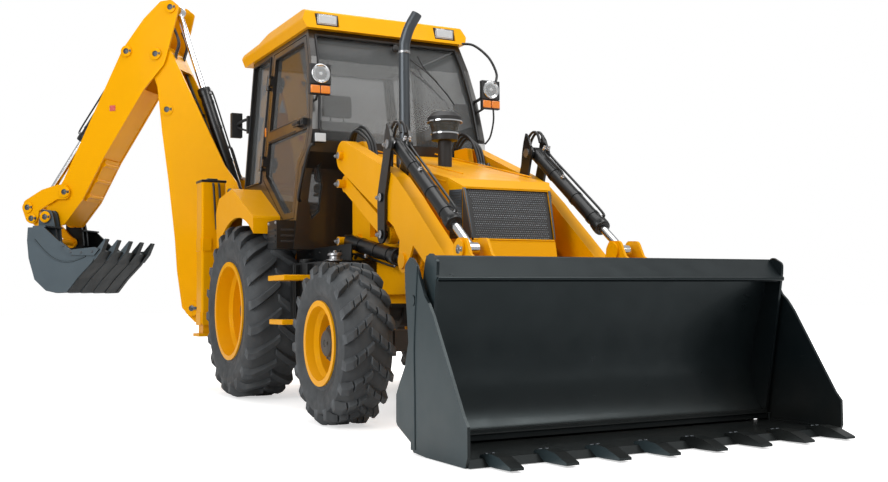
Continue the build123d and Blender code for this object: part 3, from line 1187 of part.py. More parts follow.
boxes = [shape.bounding_box() for shape in nodes.values()]
middle_x = (min(b.min.X for b in boxes) + max(b.max.X for b in boxes)) / 2
middle_y = (min(b.min.Y for b in boxes) + max(b.max.Y for b in boxes)) / 2
os.makedirs("parts", exist_ok=True)
for name, shape in nodes.items():
    export_step(Pos(-middle_x, -middle_y, 0) * shape, "parts/" + name + ".step")
print("shift", -middle_x, -middle_y)
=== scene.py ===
"""The visual model of the backhoe loader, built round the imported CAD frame.

Helpers take millimetres in the machine's own axes: x forward and z up from the ground, with
x = 0 over the rear axle and y = 0 on the machine's middle line.
"""
import bmesh
import bpy
import math
from mathutils import Matrix, Vector


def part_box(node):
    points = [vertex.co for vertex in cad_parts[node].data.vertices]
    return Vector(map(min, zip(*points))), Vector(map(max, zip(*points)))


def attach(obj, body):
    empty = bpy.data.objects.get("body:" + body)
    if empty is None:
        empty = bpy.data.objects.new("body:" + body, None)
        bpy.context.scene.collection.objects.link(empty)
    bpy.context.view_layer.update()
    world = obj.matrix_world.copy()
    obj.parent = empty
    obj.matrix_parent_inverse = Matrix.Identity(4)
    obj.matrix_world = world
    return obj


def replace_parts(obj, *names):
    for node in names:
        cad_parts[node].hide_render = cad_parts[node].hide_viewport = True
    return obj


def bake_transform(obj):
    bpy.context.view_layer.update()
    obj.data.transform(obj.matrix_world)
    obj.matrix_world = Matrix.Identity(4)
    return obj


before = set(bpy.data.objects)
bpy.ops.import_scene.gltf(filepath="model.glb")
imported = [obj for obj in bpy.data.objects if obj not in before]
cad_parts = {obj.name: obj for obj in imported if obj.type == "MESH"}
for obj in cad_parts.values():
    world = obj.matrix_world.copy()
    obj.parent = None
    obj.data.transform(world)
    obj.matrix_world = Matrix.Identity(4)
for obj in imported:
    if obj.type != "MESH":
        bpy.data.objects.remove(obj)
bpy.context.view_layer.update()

# ---- Places ----

right_rim, left_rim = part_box("rear_right_rim"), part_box("rear_left_rim")
ORIGIN_X = (right_rim[0].x + right_rim[1].x) / 2
ORIGIN_Y = (right_rim[0].y + left_rim[1].y) / 2
# The kingpost's axis, and the boom's heading seen from above.
POST_X, POST_Y, HEADING = -1470, -620, math.radians(230)
SIDES = (("right", -1), ("left", 1))


def V(x, y, z):
    """A point in the row frame, in metres."""
    return Vector((ORIGIN_X + x / 1000, ORIGIN_Y + y / 1000, z / 1000))


def A(r, z, n=0):
    """A point in the excavator arm's plane: r out from the kingpost, n to the plane's side."""
    c, s = math.cos(HEADING), math.sin(HEADING)
    return V(POST_X + r * c - n * s, POST_Y + r * s + n * c, z)


def sided(side, *points):
    """Points given as (x, distance from the middle, z), on one side of the machine."""
    return [V(x, side * y, z) for x, y, z in points]


def cab_y(z):
    """How far out the cab's leaning side stands at a height."""
    return 640 + 0.09 * (2780 - z)


def smoothed(points, per):
    """A Catmull-Rom path through the points, with `per` steps from each to the next."""
    path, last = [], len(points) - 1
    for i in range(last):
        p0, p1, p2, p3 = (points[max(0, min(last, i + d))] for d in (-1, 0, 1, 2))
        for k in range(per):
            t = k / per
            path.append(0.5 * ((2 * p1) + (p2 - p0) * t + (2 * p0 - 5 * p1 + 4 * p2 - p3) * t * t
                               + (3 * p1 - p0 - 3 * p2 + p3) * t ** 3))
    return path + [points[-1]]


R_DIR = Vector((math.cos(HEADING), math.sin(HEADING), 0))
N_DIR = Vector((-math.sin(HEADING), math.cos(HEADING), 0))
X, Y, Z = Vector((1, 0, 0)), Vector((0, 1, 0)), Vector((0, 0, 1))

# ---- Materials ----


def new_material(name, base, rough, metal=0.0, coat=0.0, alpha=1.0, specular=0.5, sheen=0.0):
    """A Principled material; returns it with its node tree and shader."""
    m = bpy.data.materials.new(name)
    m.use_nodes = True
    tree = m.node_tree
    shader = tree.nodes["Principled BSDF"]
    for socket, value in {
        "Base Color": (*base, 1), "Roughness": rough, "Metallic": metal, "Coat Weight": coat, "Alpha": alpha,
        "Coat Roughness": 0.08, "Specular IOR Level": specular, "Sheen Weight": sheen,
    }.items():
        shader.inputs[socket].default_value = value
    m.diffuse_color = (*base, 1)
    return m, tree, shader


def node(tree, kind, **values):
    """A new shader node; the values set its inputs, or else its own settings."""
    n = tree.nodes.new(kind)
    for key, value in values.items():
        if key in n.inputs:
            n.inputs[key].default_value = value
        else:
            setattr(n, key, value)
    return n


def connect(output, target, socket):
    """Link an output to a node's input."""
    target.id_data.links.new(output, target.inputs[socket])


def noise(tree, scale, detail=4.0, rough=0.55, stretch=None):
    """A noise texture in object space; stretch scales its axes."""
    place = node(tree, "ShaderNodeTexCoord").outputs["Object"]
    n = node(tree, "ShaderNodeTexNoise", Scale=scale, Detail=detail, Roughness=rough)
    if stretch:
        mapping = node(tree, "ShaderNodeMapping", Scale=stretch)
        connect(place, mapping, "Vector")
        place = mapping.outputs["Vector"]
    connect(place, n, "Vector")
    return n.outputs["Fac"]


def ramp(tree, source, low, high, first, last):
    """Map a value to the colours between two stops; a number stands for a grey."""
    r = node(tree, "ShaderNodeValToRGB")
    for stop, position, colour in zip(r.color_ramp.elements, (low, high), (first, last)):
        stop.position = position
        stop.color = (*colour, 1) if isinstance(colour, tuple) else (colour, colour, colour, 1)
    connect(source, r, "Fac")
    return r.outputs["Color"]


def mix(tree, factor, one, two):
    """Mix two colours by a factor; each is a socket or a plain colour."""
    m = node(tree, "ShaderNodeMix", data_type="RGBA")
    connect(factor, m, "Factor")
    for socket, value in ((m.inputs[6], one), (m.inputs[7], two)):
        if isinstance(value, tuple):
            socket.default_value = (*value, 1)
        else:
            tree.links.new(value, socket)
    return m.outputs[2]


def bump(tree, shader, source, strength, distance):
    """Let a height map bend the shader's normals."""
    b = node(tree, "ShaderNodeBump", Strength=strength, Distance=distance)
    connect(source, b, "Height")
    connect(b.outputs["Normal"], shader, "Normal")


def edge_mask(tree, low, high):
    """White on sharp convex edges."""
    geometry = node(tree, "ShaderNodeNewGeometry")
    return ramp(tree, geometry.outputs["Pointiness"], low, high, 0, 1)


def times(tree, one, two):
    """The product of two values."""
    m = node(tree, "ShaderNodeMath", operation="MULTIPLY")
    connect(one, m, 0)
    connect(two, m, 1)
    return m.outputs[0]


def low_dust(tree, top):
    """A mask that grows towards the ground, broken up by noise."""
    coords = node(tree, "ShaderNodeTexCoord")
    split = node(tree, "ShaderNodeSeparateXYZ")
    connect(coords.outputs["Object"], split, 0)
    height = node(tree, "ShaderNodeMapRange", **{"From Min": top, "From Max": 0.1})
    connect(split.outputs["Z"], height, "Value")
    return times(tree, height.outputs["Result"], noise(tree, 5.0, 6.0))


DUST = (0.30, 0.25, 0.19)


def paint(name, base, rough=0.3, coat=0.35, dust=0.10, wear=None, dust_top=1.0, clouds=0.10, specular=0.5,
          tint=None):
    """Sprayed paint: faint orange peel, cloudy colour, dust low down and, given a wear colour, worn scuffs
    and scratches.
    """
    m, tree, shader = new_material(name, base, rough, coat=coat, specular=specular)
    if tint:
        shader.inputs["Specular Tint"].default_value = (*tint, 1)
    darker = tuple(c * (1 - clouds) for c in base)
    lighter = tuple(min(1, c * (1 + clouds / 2)) for c in base)
    cloudy = ramp(tree, noise(tree, 2.2), 0.3, 0.7, darker, lighter)
    dusty = node(tree, "ShaderNodeMath", operation="MULTIPLY")
    connect(low_dust(tree, dust_top), dusty, 0)
    dusty.inputs[1].default_value = dust * 2.2
    colour = mix(tree, dusty.outputs[0], cloudy, DUST)
    if wear:
        scuffs = ramp(tree, noise(tree, 3.1, 9.0, 0.75), 0.60, 0.76, 0, 0.55)
        scratches = ramp(tree, noise(tree, 16.0, 4.0, 0.6, stretch=(1, 1, 9)), 0.52, 0.70, 0, 1)
        colour = mix(tree, times(tree, scuffs, scratches), colour, wear)
    connect(colour, shader, "Base Color")
    connect(ramp(tree, noise(tree, 7.0), 0.2, 0.8, rough - 0.05, rough + 0.12), shader, "Roughness")
    bump(tree, shader, noise(tree, 260.0, 2.0), 0.06, 0.001)
    return m


def metal(name, base, rough, streak=(1, 60, 60)):
    """Bare or plated metal with fine turning marks."""
    m, tree, shader = new_material(name, base, rough, metal=1.0)
    marks = noise(tree, 30.0, 3.0, stretch=streak)
    connect(ramp(tree, marks, 0.3, 0.7, max(0.03, rough - 0.05), rough + 0.10), shader, "Roughness")
    worn = tuple(c * 0.9 for c in base)
    connect(ramp(tree, noise(tree, 9.0), 0.3, 0.7, worn, base), shader, "Base Color")
    return m


YELLOW = paint("yellow_paint", (0.80, 0.352, 0.0), 0.36, 0.04, dust=0.03, clouds=0.04, specular=0.28,
               tint=(1, 0.75, 0.05))
BLACK = paint("black_paint", (0.0055, 0.006, 0.0065), 0.30, 0.12, dust=0.03, specular=0.4,
              wear=(0.05, 0.05, 0.05))
CAB_BLACK = paint("cab_frame_paint", (0.016, 0.013, 0.011), 0.30, 0.4, dust=0.02)
BUCKET = paint("bucket_paint", (0.0035, 0.0055, 0.0065), 0.30, 0.04, dust=0.02, dust_top=0.4, specular=0.32,
               wear=(0.07, 0.085, 0.09), tint=(0.78, 0.95, 1))
HOE = paint("hoe_bucket_paint", (0.006, 0.007, 0.008), 0.45, 0.0, dust=0.02, dust_top=0.4, specular=0.25,
            wear=(0.10, 0.12, 0.13), tint=(0.8, 0.95, 1))


def paint_side_sheen(material, direction, middle, colour):
    """Mix a lighter colour, a painted sheen, onto the faces that look outwards along a direction and its
    opposite.
    """
    tree = material.node_tree
    shader = tree.nodes["Principled BSDF"]
    coords = node(tree, "ShaderNodeTexCoord")
    parts = []
    for output, offset in (("Normal", 0.0), ("Object", Vector(middle).dot(direction))):
        dot = node(tree, "ShaderNodeVectorMath", operation="DOT_PRODUCT")
        dot.inputs[1].default_value = direction
        connect(coords.outputs[output], dot, 0)
        shift = node(tree, "ShaderNodeMath", operation="SUBTRACT")
        shift.inputs[1].default_value = offset
        connect(dot.outputs["Value"], shift, 0)
        parts.append(shift.outputs[0])
    side = node(tree, "ShaderNodeMath", operation="SIGN")
    connect(parts[1], side, 0)
    outward = ramp(tree, times(tree, parts[0], side.outputs[0]), 0.6, 0.95, 0, 1)
    sheen_mask = times(tree, outward, ramp(tree, noise(tree, 2.4, 7.0), 0.2, 0.8, 0.7, 1))
    old = shader.inputs["Base Color"].links[0].from_socket
    connect(mix(tree, sheen_mask, old, colour), shader, "Base Color")


# Painted sheen: the sides of the hoe bucket and of the loader bucket are painted a lighter blue-grey.
paint_side_sheen(HOE, N_DIR, A(1400, 1000, 0), (0.085, 0.108, 0.125))
paint_side_sheen(BUCKET, Y, V(0, 0, 0), (0.030, 0.044, 0.049))
IRON = paint("cast_iron_paint", (0.022, 0.021, 0.021), 0.55, 0.0, dust=0.16, wear=(0.10, 0.09, 0.08))
CHROME = metal("chromed_rod", (0.78, 0.79, 0.80), 0.10)
STEEL = metal("pin_steel", (0.42, 0.42, 0.43), 0.34)
DARK_STEEL = metal("dark_steel", (0.10, 0.11, 0.12), 0.40)
PLASTIC = paint("black_plastic", (0.014, 0.014, 0.015), 0.48, 0.0, dust=0.03)


def rubber():
    """Tyre rubber: rubbed lighter on the lugs' edges, with dust in the grooves."""
    m, tree, shader = new_material("tyre_rubber", (0.030, 0.031, 0.033), 0.62, specular=0.35)
    base = ramp(tree, noise(tree, 5.0, 6.0), 0.3, 0.72, (0.036, 0.039, 0.042), (0.062, 0.067, 0.071))
    geometry = node(tree, "ShaderNodeNewGeometry")
    groove = ramp(tree, geometry.outputs["Pointiness"], 0.40, 0.50, 1, 0)
    dusty = times(tree, groove, ramp(tree, noise(tree, 12.0, 6.0), 0.35, 0.7, 0, 0.8))
    colour = mix(tree, dusty, base, (0.075, 0.060, 0.045))
    rubbed = times(tree, edge_mask(tree, 0.54, 0.62), ramp(tree, noise(tree, 20.0), 0.4, 0.6, 0.2, 0.9))
    connect(mix(tree, rubbed, colour, (0.16, 0.175, 0.19)), shader, "Base Color")
    connect(ramp(tree, noise(tree, 18.0), 0.3, 0.7, 0.5, 0.78), shader, "Roughness")
    bump(tree, shader, noise(tree, 120.0, 5.0), 0.25, 0.002)
    return m


def glass(name, base, alpha, specular=0.2):
    """Clear or tinted glass with faint smears; alpha sets how dense it looks."""
    m, tree, shader = new_material(name, base, 0.05, alpha=alpha, specular=specular)
    connect(ramp(tree, noise(tree, 3.0, 5.0), 0.35, 0.75, 0.02, 0.07), shader, "Roughness")
    dark, light = (tuple(c * share for c in base) for share in (0.85, 1.15))
    connect(ramp(tree, noise(tree, 1.3), 0.3, 0.7, dark, light), shader, "Base Color")
    return m


def fabric():
    """Woven seat cover: two crossed fine waves for the threads."""
    m, tree, shader = new_material("seat_cover", (0.020, 0.022, 0.028), 0.85, specular=0.2, sheen=0.35)
    coords = node(tree, "ShaderNodeTexCoord")
    waves = []
    for direction in ("X", "Y"):
        w = node(tree, "ShaderNodeTexWave", Scale=95.0, Distortion=0.4, bands_direction=direction)
        connect(coords.outputs["Object"], w, "Vector")
        waves.append(w.outputs["Fac"])
    weave = times(tree, *waves)
    threads = ramp(tree, weave, 0.1, 0.8, (0.012, 0.013, 0.017), (0.035, 0.038, 0.046))
    connect(threads, shader, "Base Color")
    bump(tree, shader, weave, 0.35, 0.001)
    return m


def lamp_glass(name, base, rough=0.12, ribs=220.0):
    """A moulded lens with fine upright ribs."""
    m, tree, shader = new_material(name, base, rough, coat=0.9, specular=0.7)
    coords = node(tree, "ShaderNodeTexCoord")
    w = node(tree, "ShaderNodeTexWave", Scale=ribs, Distortion=0.0, bands_direction="Y")
    connect(coords.outputs["Object"], w, "Vector")
    between = tuple(c * 0.72 for c in base)
    connect(ramp(tree, w.outputs["Fac"], 0.2, 0.8, between, base), shader, "Base Color")
    bump(tree, shader, w.outputs["Fac"], 0.3, 0.001)
    return m


RUBBER = rubber()
HOSE = paint("hose_rubber", (0.010, 0.010, 0.011), 0.45, 0.1, dust=0.04)
GLASS = glass("tinted_glass", (0.110, 0.115, 0.116), 0.45)
DOOR_GLASS = glass("door_glass", (0.052, 0.053, 0.051), 0.62, 0.3)
BOWL_GLASS = glass("clear_bowl", (0.10, 0.11, 0.11), 0.45)
FABRIC = fabric()
LENS = lamp_glass("lamp_lens", (0.66, 0.68, 0.70))
LAMP_GLASS = glass("lamp_glass", (0.75, 0.78, 0.80), 0.22)
ORANGE = lamp_glass("orange_lens", (0.95, 0.26, 0.006))
RED = lamp_glass("red_reflector", (0.62, 0.035, 0.012), 0.2, 400.0)
LINER = paint("headliner", (0.30, 0.31, 0.32), 0.8, 0.0, dust=0.0)
WHITE_BOX = paint("white_box", (0.62, 0.64, 0.65), 0.35, 0.2, dust=0.0)


def grille_material():
    """Dark pressed sheet: a dimple at each cell of a staggered pattern."""
    m, tree, shader = new_material("grille_sheet", (0.20, 0.22, 0.24), 0.42, metal=0.2)
    coords = node(tree, "ShaderNodeTexCoord")
    cells = node(tree, "ShaderNodeTexVoronoi", Scale=90.0, Randomness=0.0)
    connect(coords.outputs["Object"], cells, "Vector")
    dimples = ramp(tree, cells.outputs["Distance"], 0.2, 0.5, (0.30, 0.33, 0.36), (0.14, 0.155, 0.17))
    connect(dimples, shader, "Base Color")
    bump(tree, shader, cells.outputs["Distance"], 0.4, 0.003)
    return m


GRILLE = grille_material()

BY_NODE = {
    BLACK: "tank_and_steps slotted_box rocker_levers crowd_ram_barrels lift_ram_barrels boom_ram_barrel "
           "dipper_ram_barrel bucket_ram_barrel",
    CAB_BLACK: "cab_frame right_door left_door",
    CHROME: "crowd_ram_rods lift_ram_rods boom_ram_rod dipper_ram_rod bucket_ram_rod steering_rod",
    STEEL: "crowd_ram_pins bucket_pins",
    BUCKET: "bucket_back bucket_clam",
    HOE: "hoe_bucket",
    IRON: "front_axle rear_axle engine_block right_knuckle left_knuckle",
    GLASS: "cab_glass",
    DOOR_GLASS: "right_door_glass left_door_glass",
    DARK_STEEL: "exhaust_stack",
    PLASTIC: "steering_console air_precleaner front_grille",
    RUBBER: "front_right_tyre front_left_tyre rear_right_tyre rear_left_tyre",
    FABRIC: "operator_seat",
    LENS: "lamps",
}
chosen = {name: material for material, names in BY_NODE.items() for name in names.split()}
for name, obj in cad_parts.items():
    obj.data.materials.clear()
    obj.data.materials.append(chosen.get(name, YELLOW))

# The finish slot of each material; a piece can name another.
SLOT_OF = {
    YELLOW: "yellow_paint", BLACK: "black_paint", GRILLE: "black_paint", BUCKET: "bucket_black",
    HOE: "hoe_grey", IRON: "cast_iron", CHROME: "chromed_rod", STEEL: "pin_steel", DARK_STEEL: "pin_steel",
    PLASTIC: "black_plastic", HOSE: "black_plastic", RUBBER: "tyre_rubber", BOWL_GLASS: "tinted_glass",
    **dict.fromkeys((LENS, LAMP_GLASS, ORANGE, RED, LINER, WHITE_BOX), "lamp_lens"),
}

# ---- Mesh building ----


def basis(along, hint=None):
    """A rotation whose Z is `along`."""
    along = along.normalized()
    hint = hint or (Z if abs(along.z) < 0.9 else X)
    side = hint.cross(along).normalized()
    return Matrix((side, along.cross(side), along)).transposed()


def put(name, data):
    """A new object in the scene."""
    obj = bpy.data.objects.new(name, data)
    bpy.context.scene.collection.objects.link(obj)
    return obj


class Piece:
    """One mesh object gathered from simple shapes, then bevelled, placed on a body and given a finish."""

    def __init__(self, name, body, material, slot=None):
        self.name, self.body, self.material = name, body, material
        self.slot = slot or SLOT_OF[material]
        self.bm = bmesh.new()

    def bridge(self, rings):
        """Faces between neighbouring rings of corners; a ring of one corner closes to a point."""
        for one, two in zip(rings, rings[1:]):
            steps = max(len(one), len(two))
            for i in range(steps):
                j = (i + 1) % steps
                if len(one) == 1:
                    self.bm.faces.new((one[0], two[i], two[j]))
                elif len(two) == 1:
                    self.bm.faces.new((one[i], one[j], two[0]))
                else:
                    self.bm.faces.new((one[i], one[j], two[j], two[i]))

    def block(self, centre, size, turn=None):
        """A block of the given size in mm; turn is a rotation matrix."""
        place = Matrix.Translation(centre) @ (turn.to_4x4() if turn else Matrix.Identity(4))
        bmesh.ops.create_cube(self.bm, size=1, matrix=place @ Matrix.Diagonal((*[s / 1000 for s in size], 1)))
        return self

    def lathe(self, start, along, profile, steps=32):
        """A turned shape: the profile is (distance along, radius) in mm."""
        turn = basis(along)
        rings = []
        for distance, radius in profile:
            if radius < 0.01:
                rings.append([self.bm.verts.new(start + turn @ Vector((0, 0, distance / 1000)))])
                continue
            ring = []
            for i in range(steps):
                a = 2 * math.pi * i / steps
                offset = Vector((radius * math.cos(a), radius * math.sin(a), distance)) / 1000
                ring.append(self.bm.verts.new(start + turn @ offset))
            rings.append(ring)
        self.bridge(rings)
        return self

    def band(self, start, along, inner, outer, width, steps):
        """A flat ring, its sizes in mm."""
        return self.lathe(start, along, [
            (0, inner), (0, outer), (width, outer), (width, inner), (0, inner)], steps)

    def bolt(self, at, along, across=30, height=12):
        """A hexagon bolt head on a washer."""
        r = across / 2 / math.cos(math.pi / 6)
        self.lathe(at, along, [(-1, 0), (-1, r * 1.25), (2.5, r * 1.25), (2.5, 0)], 16)
        self.lathe(at, along, [(2, 0), (2, r), (height - 2, r), (height, r * 0.82), (height, 0)], 6)
        return self

    def tube(self, points, radius, steps=8, per=6):
        """A round tube through the points, smoothed through them."""
        path = smoothed(points, per)
        rings, hint = [], None
        for i, p in enumerate(path):
            along = (path[min(i + 1, len(path) - 1)] - path[max(i - 1, 0)]).normalized()
            turn = basis(along, hint)
            hint = turn.col[1].copy()
            ring = []
            for k in range(steps):
                a = 2 * math.pi * k / steps
                offset = Vector((math.cos(a), math.sin(a), 0))
                ring.append(self.bm.verts.new(p + turn @ offset * radius / 1000))
            rings.append(ring)
        self.bridge(rings)
        self.bm.faces.new(rings[0][::-1])
        self.bm.faces.new(rings[-1])
        return self

    def prism(self, corners, thick):
        """A plate: corners on one face, and a thickness vector in mm."""
        low = [self.bm.verts.new(c) for c in corners]
        high = [self.bm.verts.new(c + thick / 1000) for c in corners]
        self.bm.faces.new(low[::-1])
        self.bm.faces.new(high)
        for i in range(len(corners)):
            j = (i + 1) % len(corners)
            self.bm.faces.new((low[i], low[j], high[j], high[i]))
        return self

    def done(self, bevel=1.5, smooth=True, segments=2):
        """Make the mesh object, bevel its edges and hand it to the frame; the bevel is in mm."""
        bmesh.ops.recalc_face_normals(self.bm, faces=self.bm.faces)
        mesh = bpy.data.meshes.new(self.name)
        self.bm.to_mesh(mesh)
        self.bm.free()
        mesh.materials.append(self.material)
        obj = put(self.name, mesh)
        if bevel:
            b = obj.modifiers.new("edges", "BEVEL")
            b.width, b.segments, b.limit_method = bevel / 1000, segments, "ANGLE"
            b.angle_limit = math.radians(40)
        if smooth:
            mesh.shade_smooth()
            mesh.set_sharp_from_angle(angle=math.radians(38))
        if self.body:
            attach(obj, self.body)
        return obj


# ---- Wheels ----

WHEELS = {
    # end: (x, tyre radius, middle |y|, tyre width, rim radius, rim width, lugs, lug height)
    "rear": (0, 670, 842, 430, 382, 408, 20, 34),
    "front": (2170, 488, 968, 318, 256, 300, 18, 27),
}
REAR_RADIUS = WHEELS["rear"][1]
WHEEL_TRIM = {
    # end: (disc's inset from the wheel's middle, hub radius, nut circle, hub length, rim to disc ring)
    "rear": (42, 125, 165, 118, 60),
    "front": (27, 105, 138, 128, 52),
}
NUTS = 8


def tyre(end, name, side):
    """A tyre: turned carcass with beads and rings, and two rows of staggered chevron lugs."""
    x, r, mid_y, width, rim_r, rim_w, count, lug_height = WHEELS[end]
    half, lean, crown = width / 2, rim_w / 2 - 16, r - lug_height
    mid_r = (rim_r + r) / 2
    centre = V(x, side * mid_y, r)
    piece = Piece(name + "_tread_tyre", name + "_wheel", RUBBER)
    profile = [
        (-lean, rim_r - 16), (-lean - 5, rim_r + 8), (-half + 26, rim_r + 26), (-half + 20, rim_r + 32),
        (-half + 7, mid_r - 40), (-half + 4, mid_r - 32), (-half + 3, mid_r), (-half + 9, mid_r + 42),
        (-half + 30, crown - 38), (-half + 62, crown - 10), (-half * 0.3, crown), (0, crown + 2),
    ]
    profile += [(-a, b) for a, b in reversed(profile[:-1])]
    profile += [(lean - 6, rim_r - 16), (-lean + 6, rim_r - 16), (-lean, rim_r - 16)]
    piece.lathe(centre, Y, profile, 96)
    turn = basis(Y)

    def at(angle, across, radius):
        """A point on the wheel, across its middle and out from its axis."""
        return centre + turn @ Vector((radius * math.cos(angle), radius * math.sin(angle), across)) / 1000

    def ground(across):
        """The carcass radius at a distance from the middle."""
        a = abs(across) / half
        return crown - 4 if a < 0.62 else crown - 4 - (a - 0.62) ** 1.6 * r * 0.62

    pitch = 2 * math.pi / count
    for row in (-1, 1):
        for i in range(count):
            start = (i + (0.5 if row > 0 else 0)) * pitch
            # A rear lug runs in one piece; a front one is cut into three blocks.
            for first, last in ((0, 1),) if end == "rear" else ((0, 0.27), (0.33, 0.60), (0.66, 1)):
                rings = []
                for k in range(8):
                    t = first + (last - first) * k / 7
                    across = row * (-0.045 + 1.03 * t) * (half - 4)
                    across = max(-half + 3, min(half - 3, across))
                    lean_angle = start - side * (0.60 * t - 0.10 * t * t) * pitch * 1.55
                    span = (0.255 + 0.06 * t) * pitch * (0.85 if k == 0 and first == 0 else 1)
                    top = r - 1.5 - max(0, t - 0.8) * 190 * (r / REAR_RADIUS)
                    low = ground(across) - 10
                    flare = 0.020 * (REAR_RADIUS / r)
                    corners = ((-span / 2 - flare, low), (-span / 2 + 0.004, top),
                               (span / 2 - 0.004, top), (span / 2 + flare, low))
                    rings.append([piece.bm.verts.new(at(lean_angle + edge, across, height))
                                  for edge, height in corners])
                piece.bridge(rings)
                piece.bm.faces.new(rings[0])
                piece.bm.faces.new(rings[-1][::-1])
    obj = piece.done(bevel=3.0)
    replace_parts(obj, name + "_tyre")


def wheel_trim(end, name, side):
    """Wheel nuts, the hub's dark end with its flange bolts, a filler plug and the valve."""
    x, z, mid_y, _, rim_r = WHEELS[end][:5]
    body, out = name + "_wheel", Y * side
    inset, hub_r, ring, face, dish = WHEEL_TRIM[end]
    disc = mid_y - inset
    nut = Piece(name + "_wheel_nuts", body, STEEL)
    for i in range(NUTS):
        a = 2 * math.pi * (i + 0.5) / NUTS
        spot = V(x + ring * math.cos(a), side * disc, z + ring * math.sin(a))
        nut.bolt(spot, out, 30, 24)
        nut.lathe(spot, out, [(22, 0), (22, 9), (34, 9), (36, 7), (36, 0)], 12)
    nut.done(1.0)
    hub = Piece(name + "_hub_end", body, IRON)
    hub.lathe(V(x, side * disc, z), out, [
        (0, 0), (0, hub_r + 9), (face - 30, hub_r + 5), (face - 22, hub_r - 4), (face - 18, hub_r * 0.80),
        (face, hub_r * 0.74), (face + 8, hub_r * 0.62), (face + 8, hub_r * 0.22), (face + 3, hub_r * 0.20),
        (face + 3, 0),
    ], 48)
    for i in range(10):
        a = 2 * math.pi * i / 10
        spot = V(x + hub_r * 0.86 * math.cos(a), side * (disc + face - 24), z + hub_r * 0.86 * math.sin(a))
        hub.bolt(spot, out, 17, 9)
    hub.bolt(V(x + hub_r * 0.42, side * (disc + face + 7), z), out, 20, 9)
    hub.done(1.2)
    ring_r = rim_r - dish
    rib = Piece(name + "_disc_rings", body, YELLOW)
    rib.lathe(V(x, side * disc, z), out, [
        (-2, ring_r - 26), (7, ring_r - 20), (9, ring_r - 8), (7, ring_r + 2), (-2, ring_r + 6),
        (-2, ring_r - 26)], 72)
    rib.lathe(V(x, side * disc, z), out, [
        (-2, ring + 27), (5, ring + 30), (6, ring + 38), (-2, ring + 42), (-2, ring + 27)], 72)
    rib.done(0)
    valve = Piece(name + "_valve", body, DARK_STEEL)
    seat = V(x + (rim_r - 42) * 0.7071, side * (disc + 55), z + (rim_r - 42) * 0.7071)
    valve.lathe(seat - out * 0.03, out, [
        (0, 0), (0, 7), (10, 7), (12, 4.5), (48, 4.5), (50, 6), (62, 6), (64, 0)], 12)
    valve.done(0.5)


for end in WHEELS:
    for label, side in SIDES:
        tyre(end, f"{end}_{label}", side)
        wheel_trim(end, f"{end}_{label}", side)

# ---- Pins and bosses ----


def pin_end(piece, at, along, radius, tab=X):
    """A pin's chamfered end with a keeper plate, its bolt and a grease nipple."""
    piece.lathe(at, along, [
        (-4, 0), (-4, radius + 4), (1, radius + 4), (2, radius + 2), (2, radius - 3), (4, radius - 6),
        (4, 5), (8, 4), (9, 2.5), (9, 0)], 28)
    spot = at + tab * (radius + 18) / 1000
    piece.block(at + tab * (radius + 8) / 1000, (26, 40, 8), basis(along, tab))
    piece.bolt(spot + along * 0.004, along, 13, 8)


PIN_END_Y, PIN_R, HOE_PIN_R = 604, 22, 23
for name, body, px, pz in (
    ("tower_pins", "machine", 1200, 1765), ("ram_base_pins", "machine", 1200, 1160),
    ("link_rear_pins", "machine", 1200, 1566), ("rocker_middle_pins", "rockers", 1920, 1405),
    ("rocker_low_pins", "rockers", 1920, 1165), ("crowd_ram_pin_ends", "ram_pins", 2035, 1735),
    ("bucket_pin_ends", "hinge_pins", 2885, 690),
):
    piece = Piece(name, body, STEEL)
    for side in (-1, 1):
        pin_end(piece, V(px, side * PIN_END_Y, pz), Y * side, PIN_R, -X)
    piece.done(0.8)
hitch = Piece("hitch_pin_ends", "loader_bucket", STEEL)
for side in (-1, 1):
    pin_end(hitch, V(3000, side * 610, 1020), Y * side, PIN_R, X)
hitch.done(0.8)

ARM_PINS = [
    # (name, body, point in the arm's plane, distance of the end from the plane, boss radius)
    ("boom_foot_pin_ends", "slew_post", (292, 686), 157, 34),
    ("boom_ram_pin_ends", "slew_post", (200, 1060), 114, 34),
    ("boom_eye_pin_ends", "boom_arm", (549, 2527), 153, 34),
    ("dipper_base_pin_ends", "boom_arm", (-83, 1745), 155, 34),
    ("boom_head_pin_ends", "boom_arm", (653, 3048), 185, 38),
    ("dipper_eye_pin_ends", "dipper_arm", (507, 3478), 183, 34),
    ("bucket_ram_pin_ends", "dipper_arm", (949, 3089), 185, 34),
    ("lever_pivot_pin_ends", "dipper_arm", (1564, 1785), 208, 34),
    ("bucket_pivot_pin_ends", "dipper_arm", (1702, 1547), 300, 34),
    ("lever_link_pin_ends", "lever", (1905, 1545), 208, 28),
    ("lever_ram_pin_ends", "lever", (1946, 1650), 210, 34),
    ("bucket_link_pin_ends", "digging_bucket", (1702, 1327), 288, 28),
]
for name, body, (r, z), n, radius in ARM_PINS:
    piece = Piece(name, body, DARK_STEEL)
    for side in (-1, 1):
        pin_end(piece, A(r, z, side * n), N_DIR * side, HOE_PIN_R, -R_DIR)
    piece.done(0.8)
    if body not in ("slew_post", "digging_bucket"):
        boss = Piece(name.replace("pin_ends", "bosses"), body, YELLOW)
        for side in (-1, 1):
            boss.lathe(A(r, z, side * n), N_DIR * side, [
                (-3, radius + 20), (2, radius + 18), (4, radius + 10), (4, 28), (-3, 28), (-3, radius + 20),
            ], 36)
        boss.done(0)
# Bright rings round the dipper ram's base pin.
rings = Piece("dipper_ram_base_rings", "boom_arm", WHITE_BOX)
for side in (-1, 1):
    rings.lathe(A(-83, 1745, side * 152), N_DIR * side, [
        (-1, 42), (3, 42), (4, 46), (4, 52), (-1, 54), (-1, 42)], 40)
rings.done(0)

# ---- Rams: gland nuts, ports, pipes and hoses ----


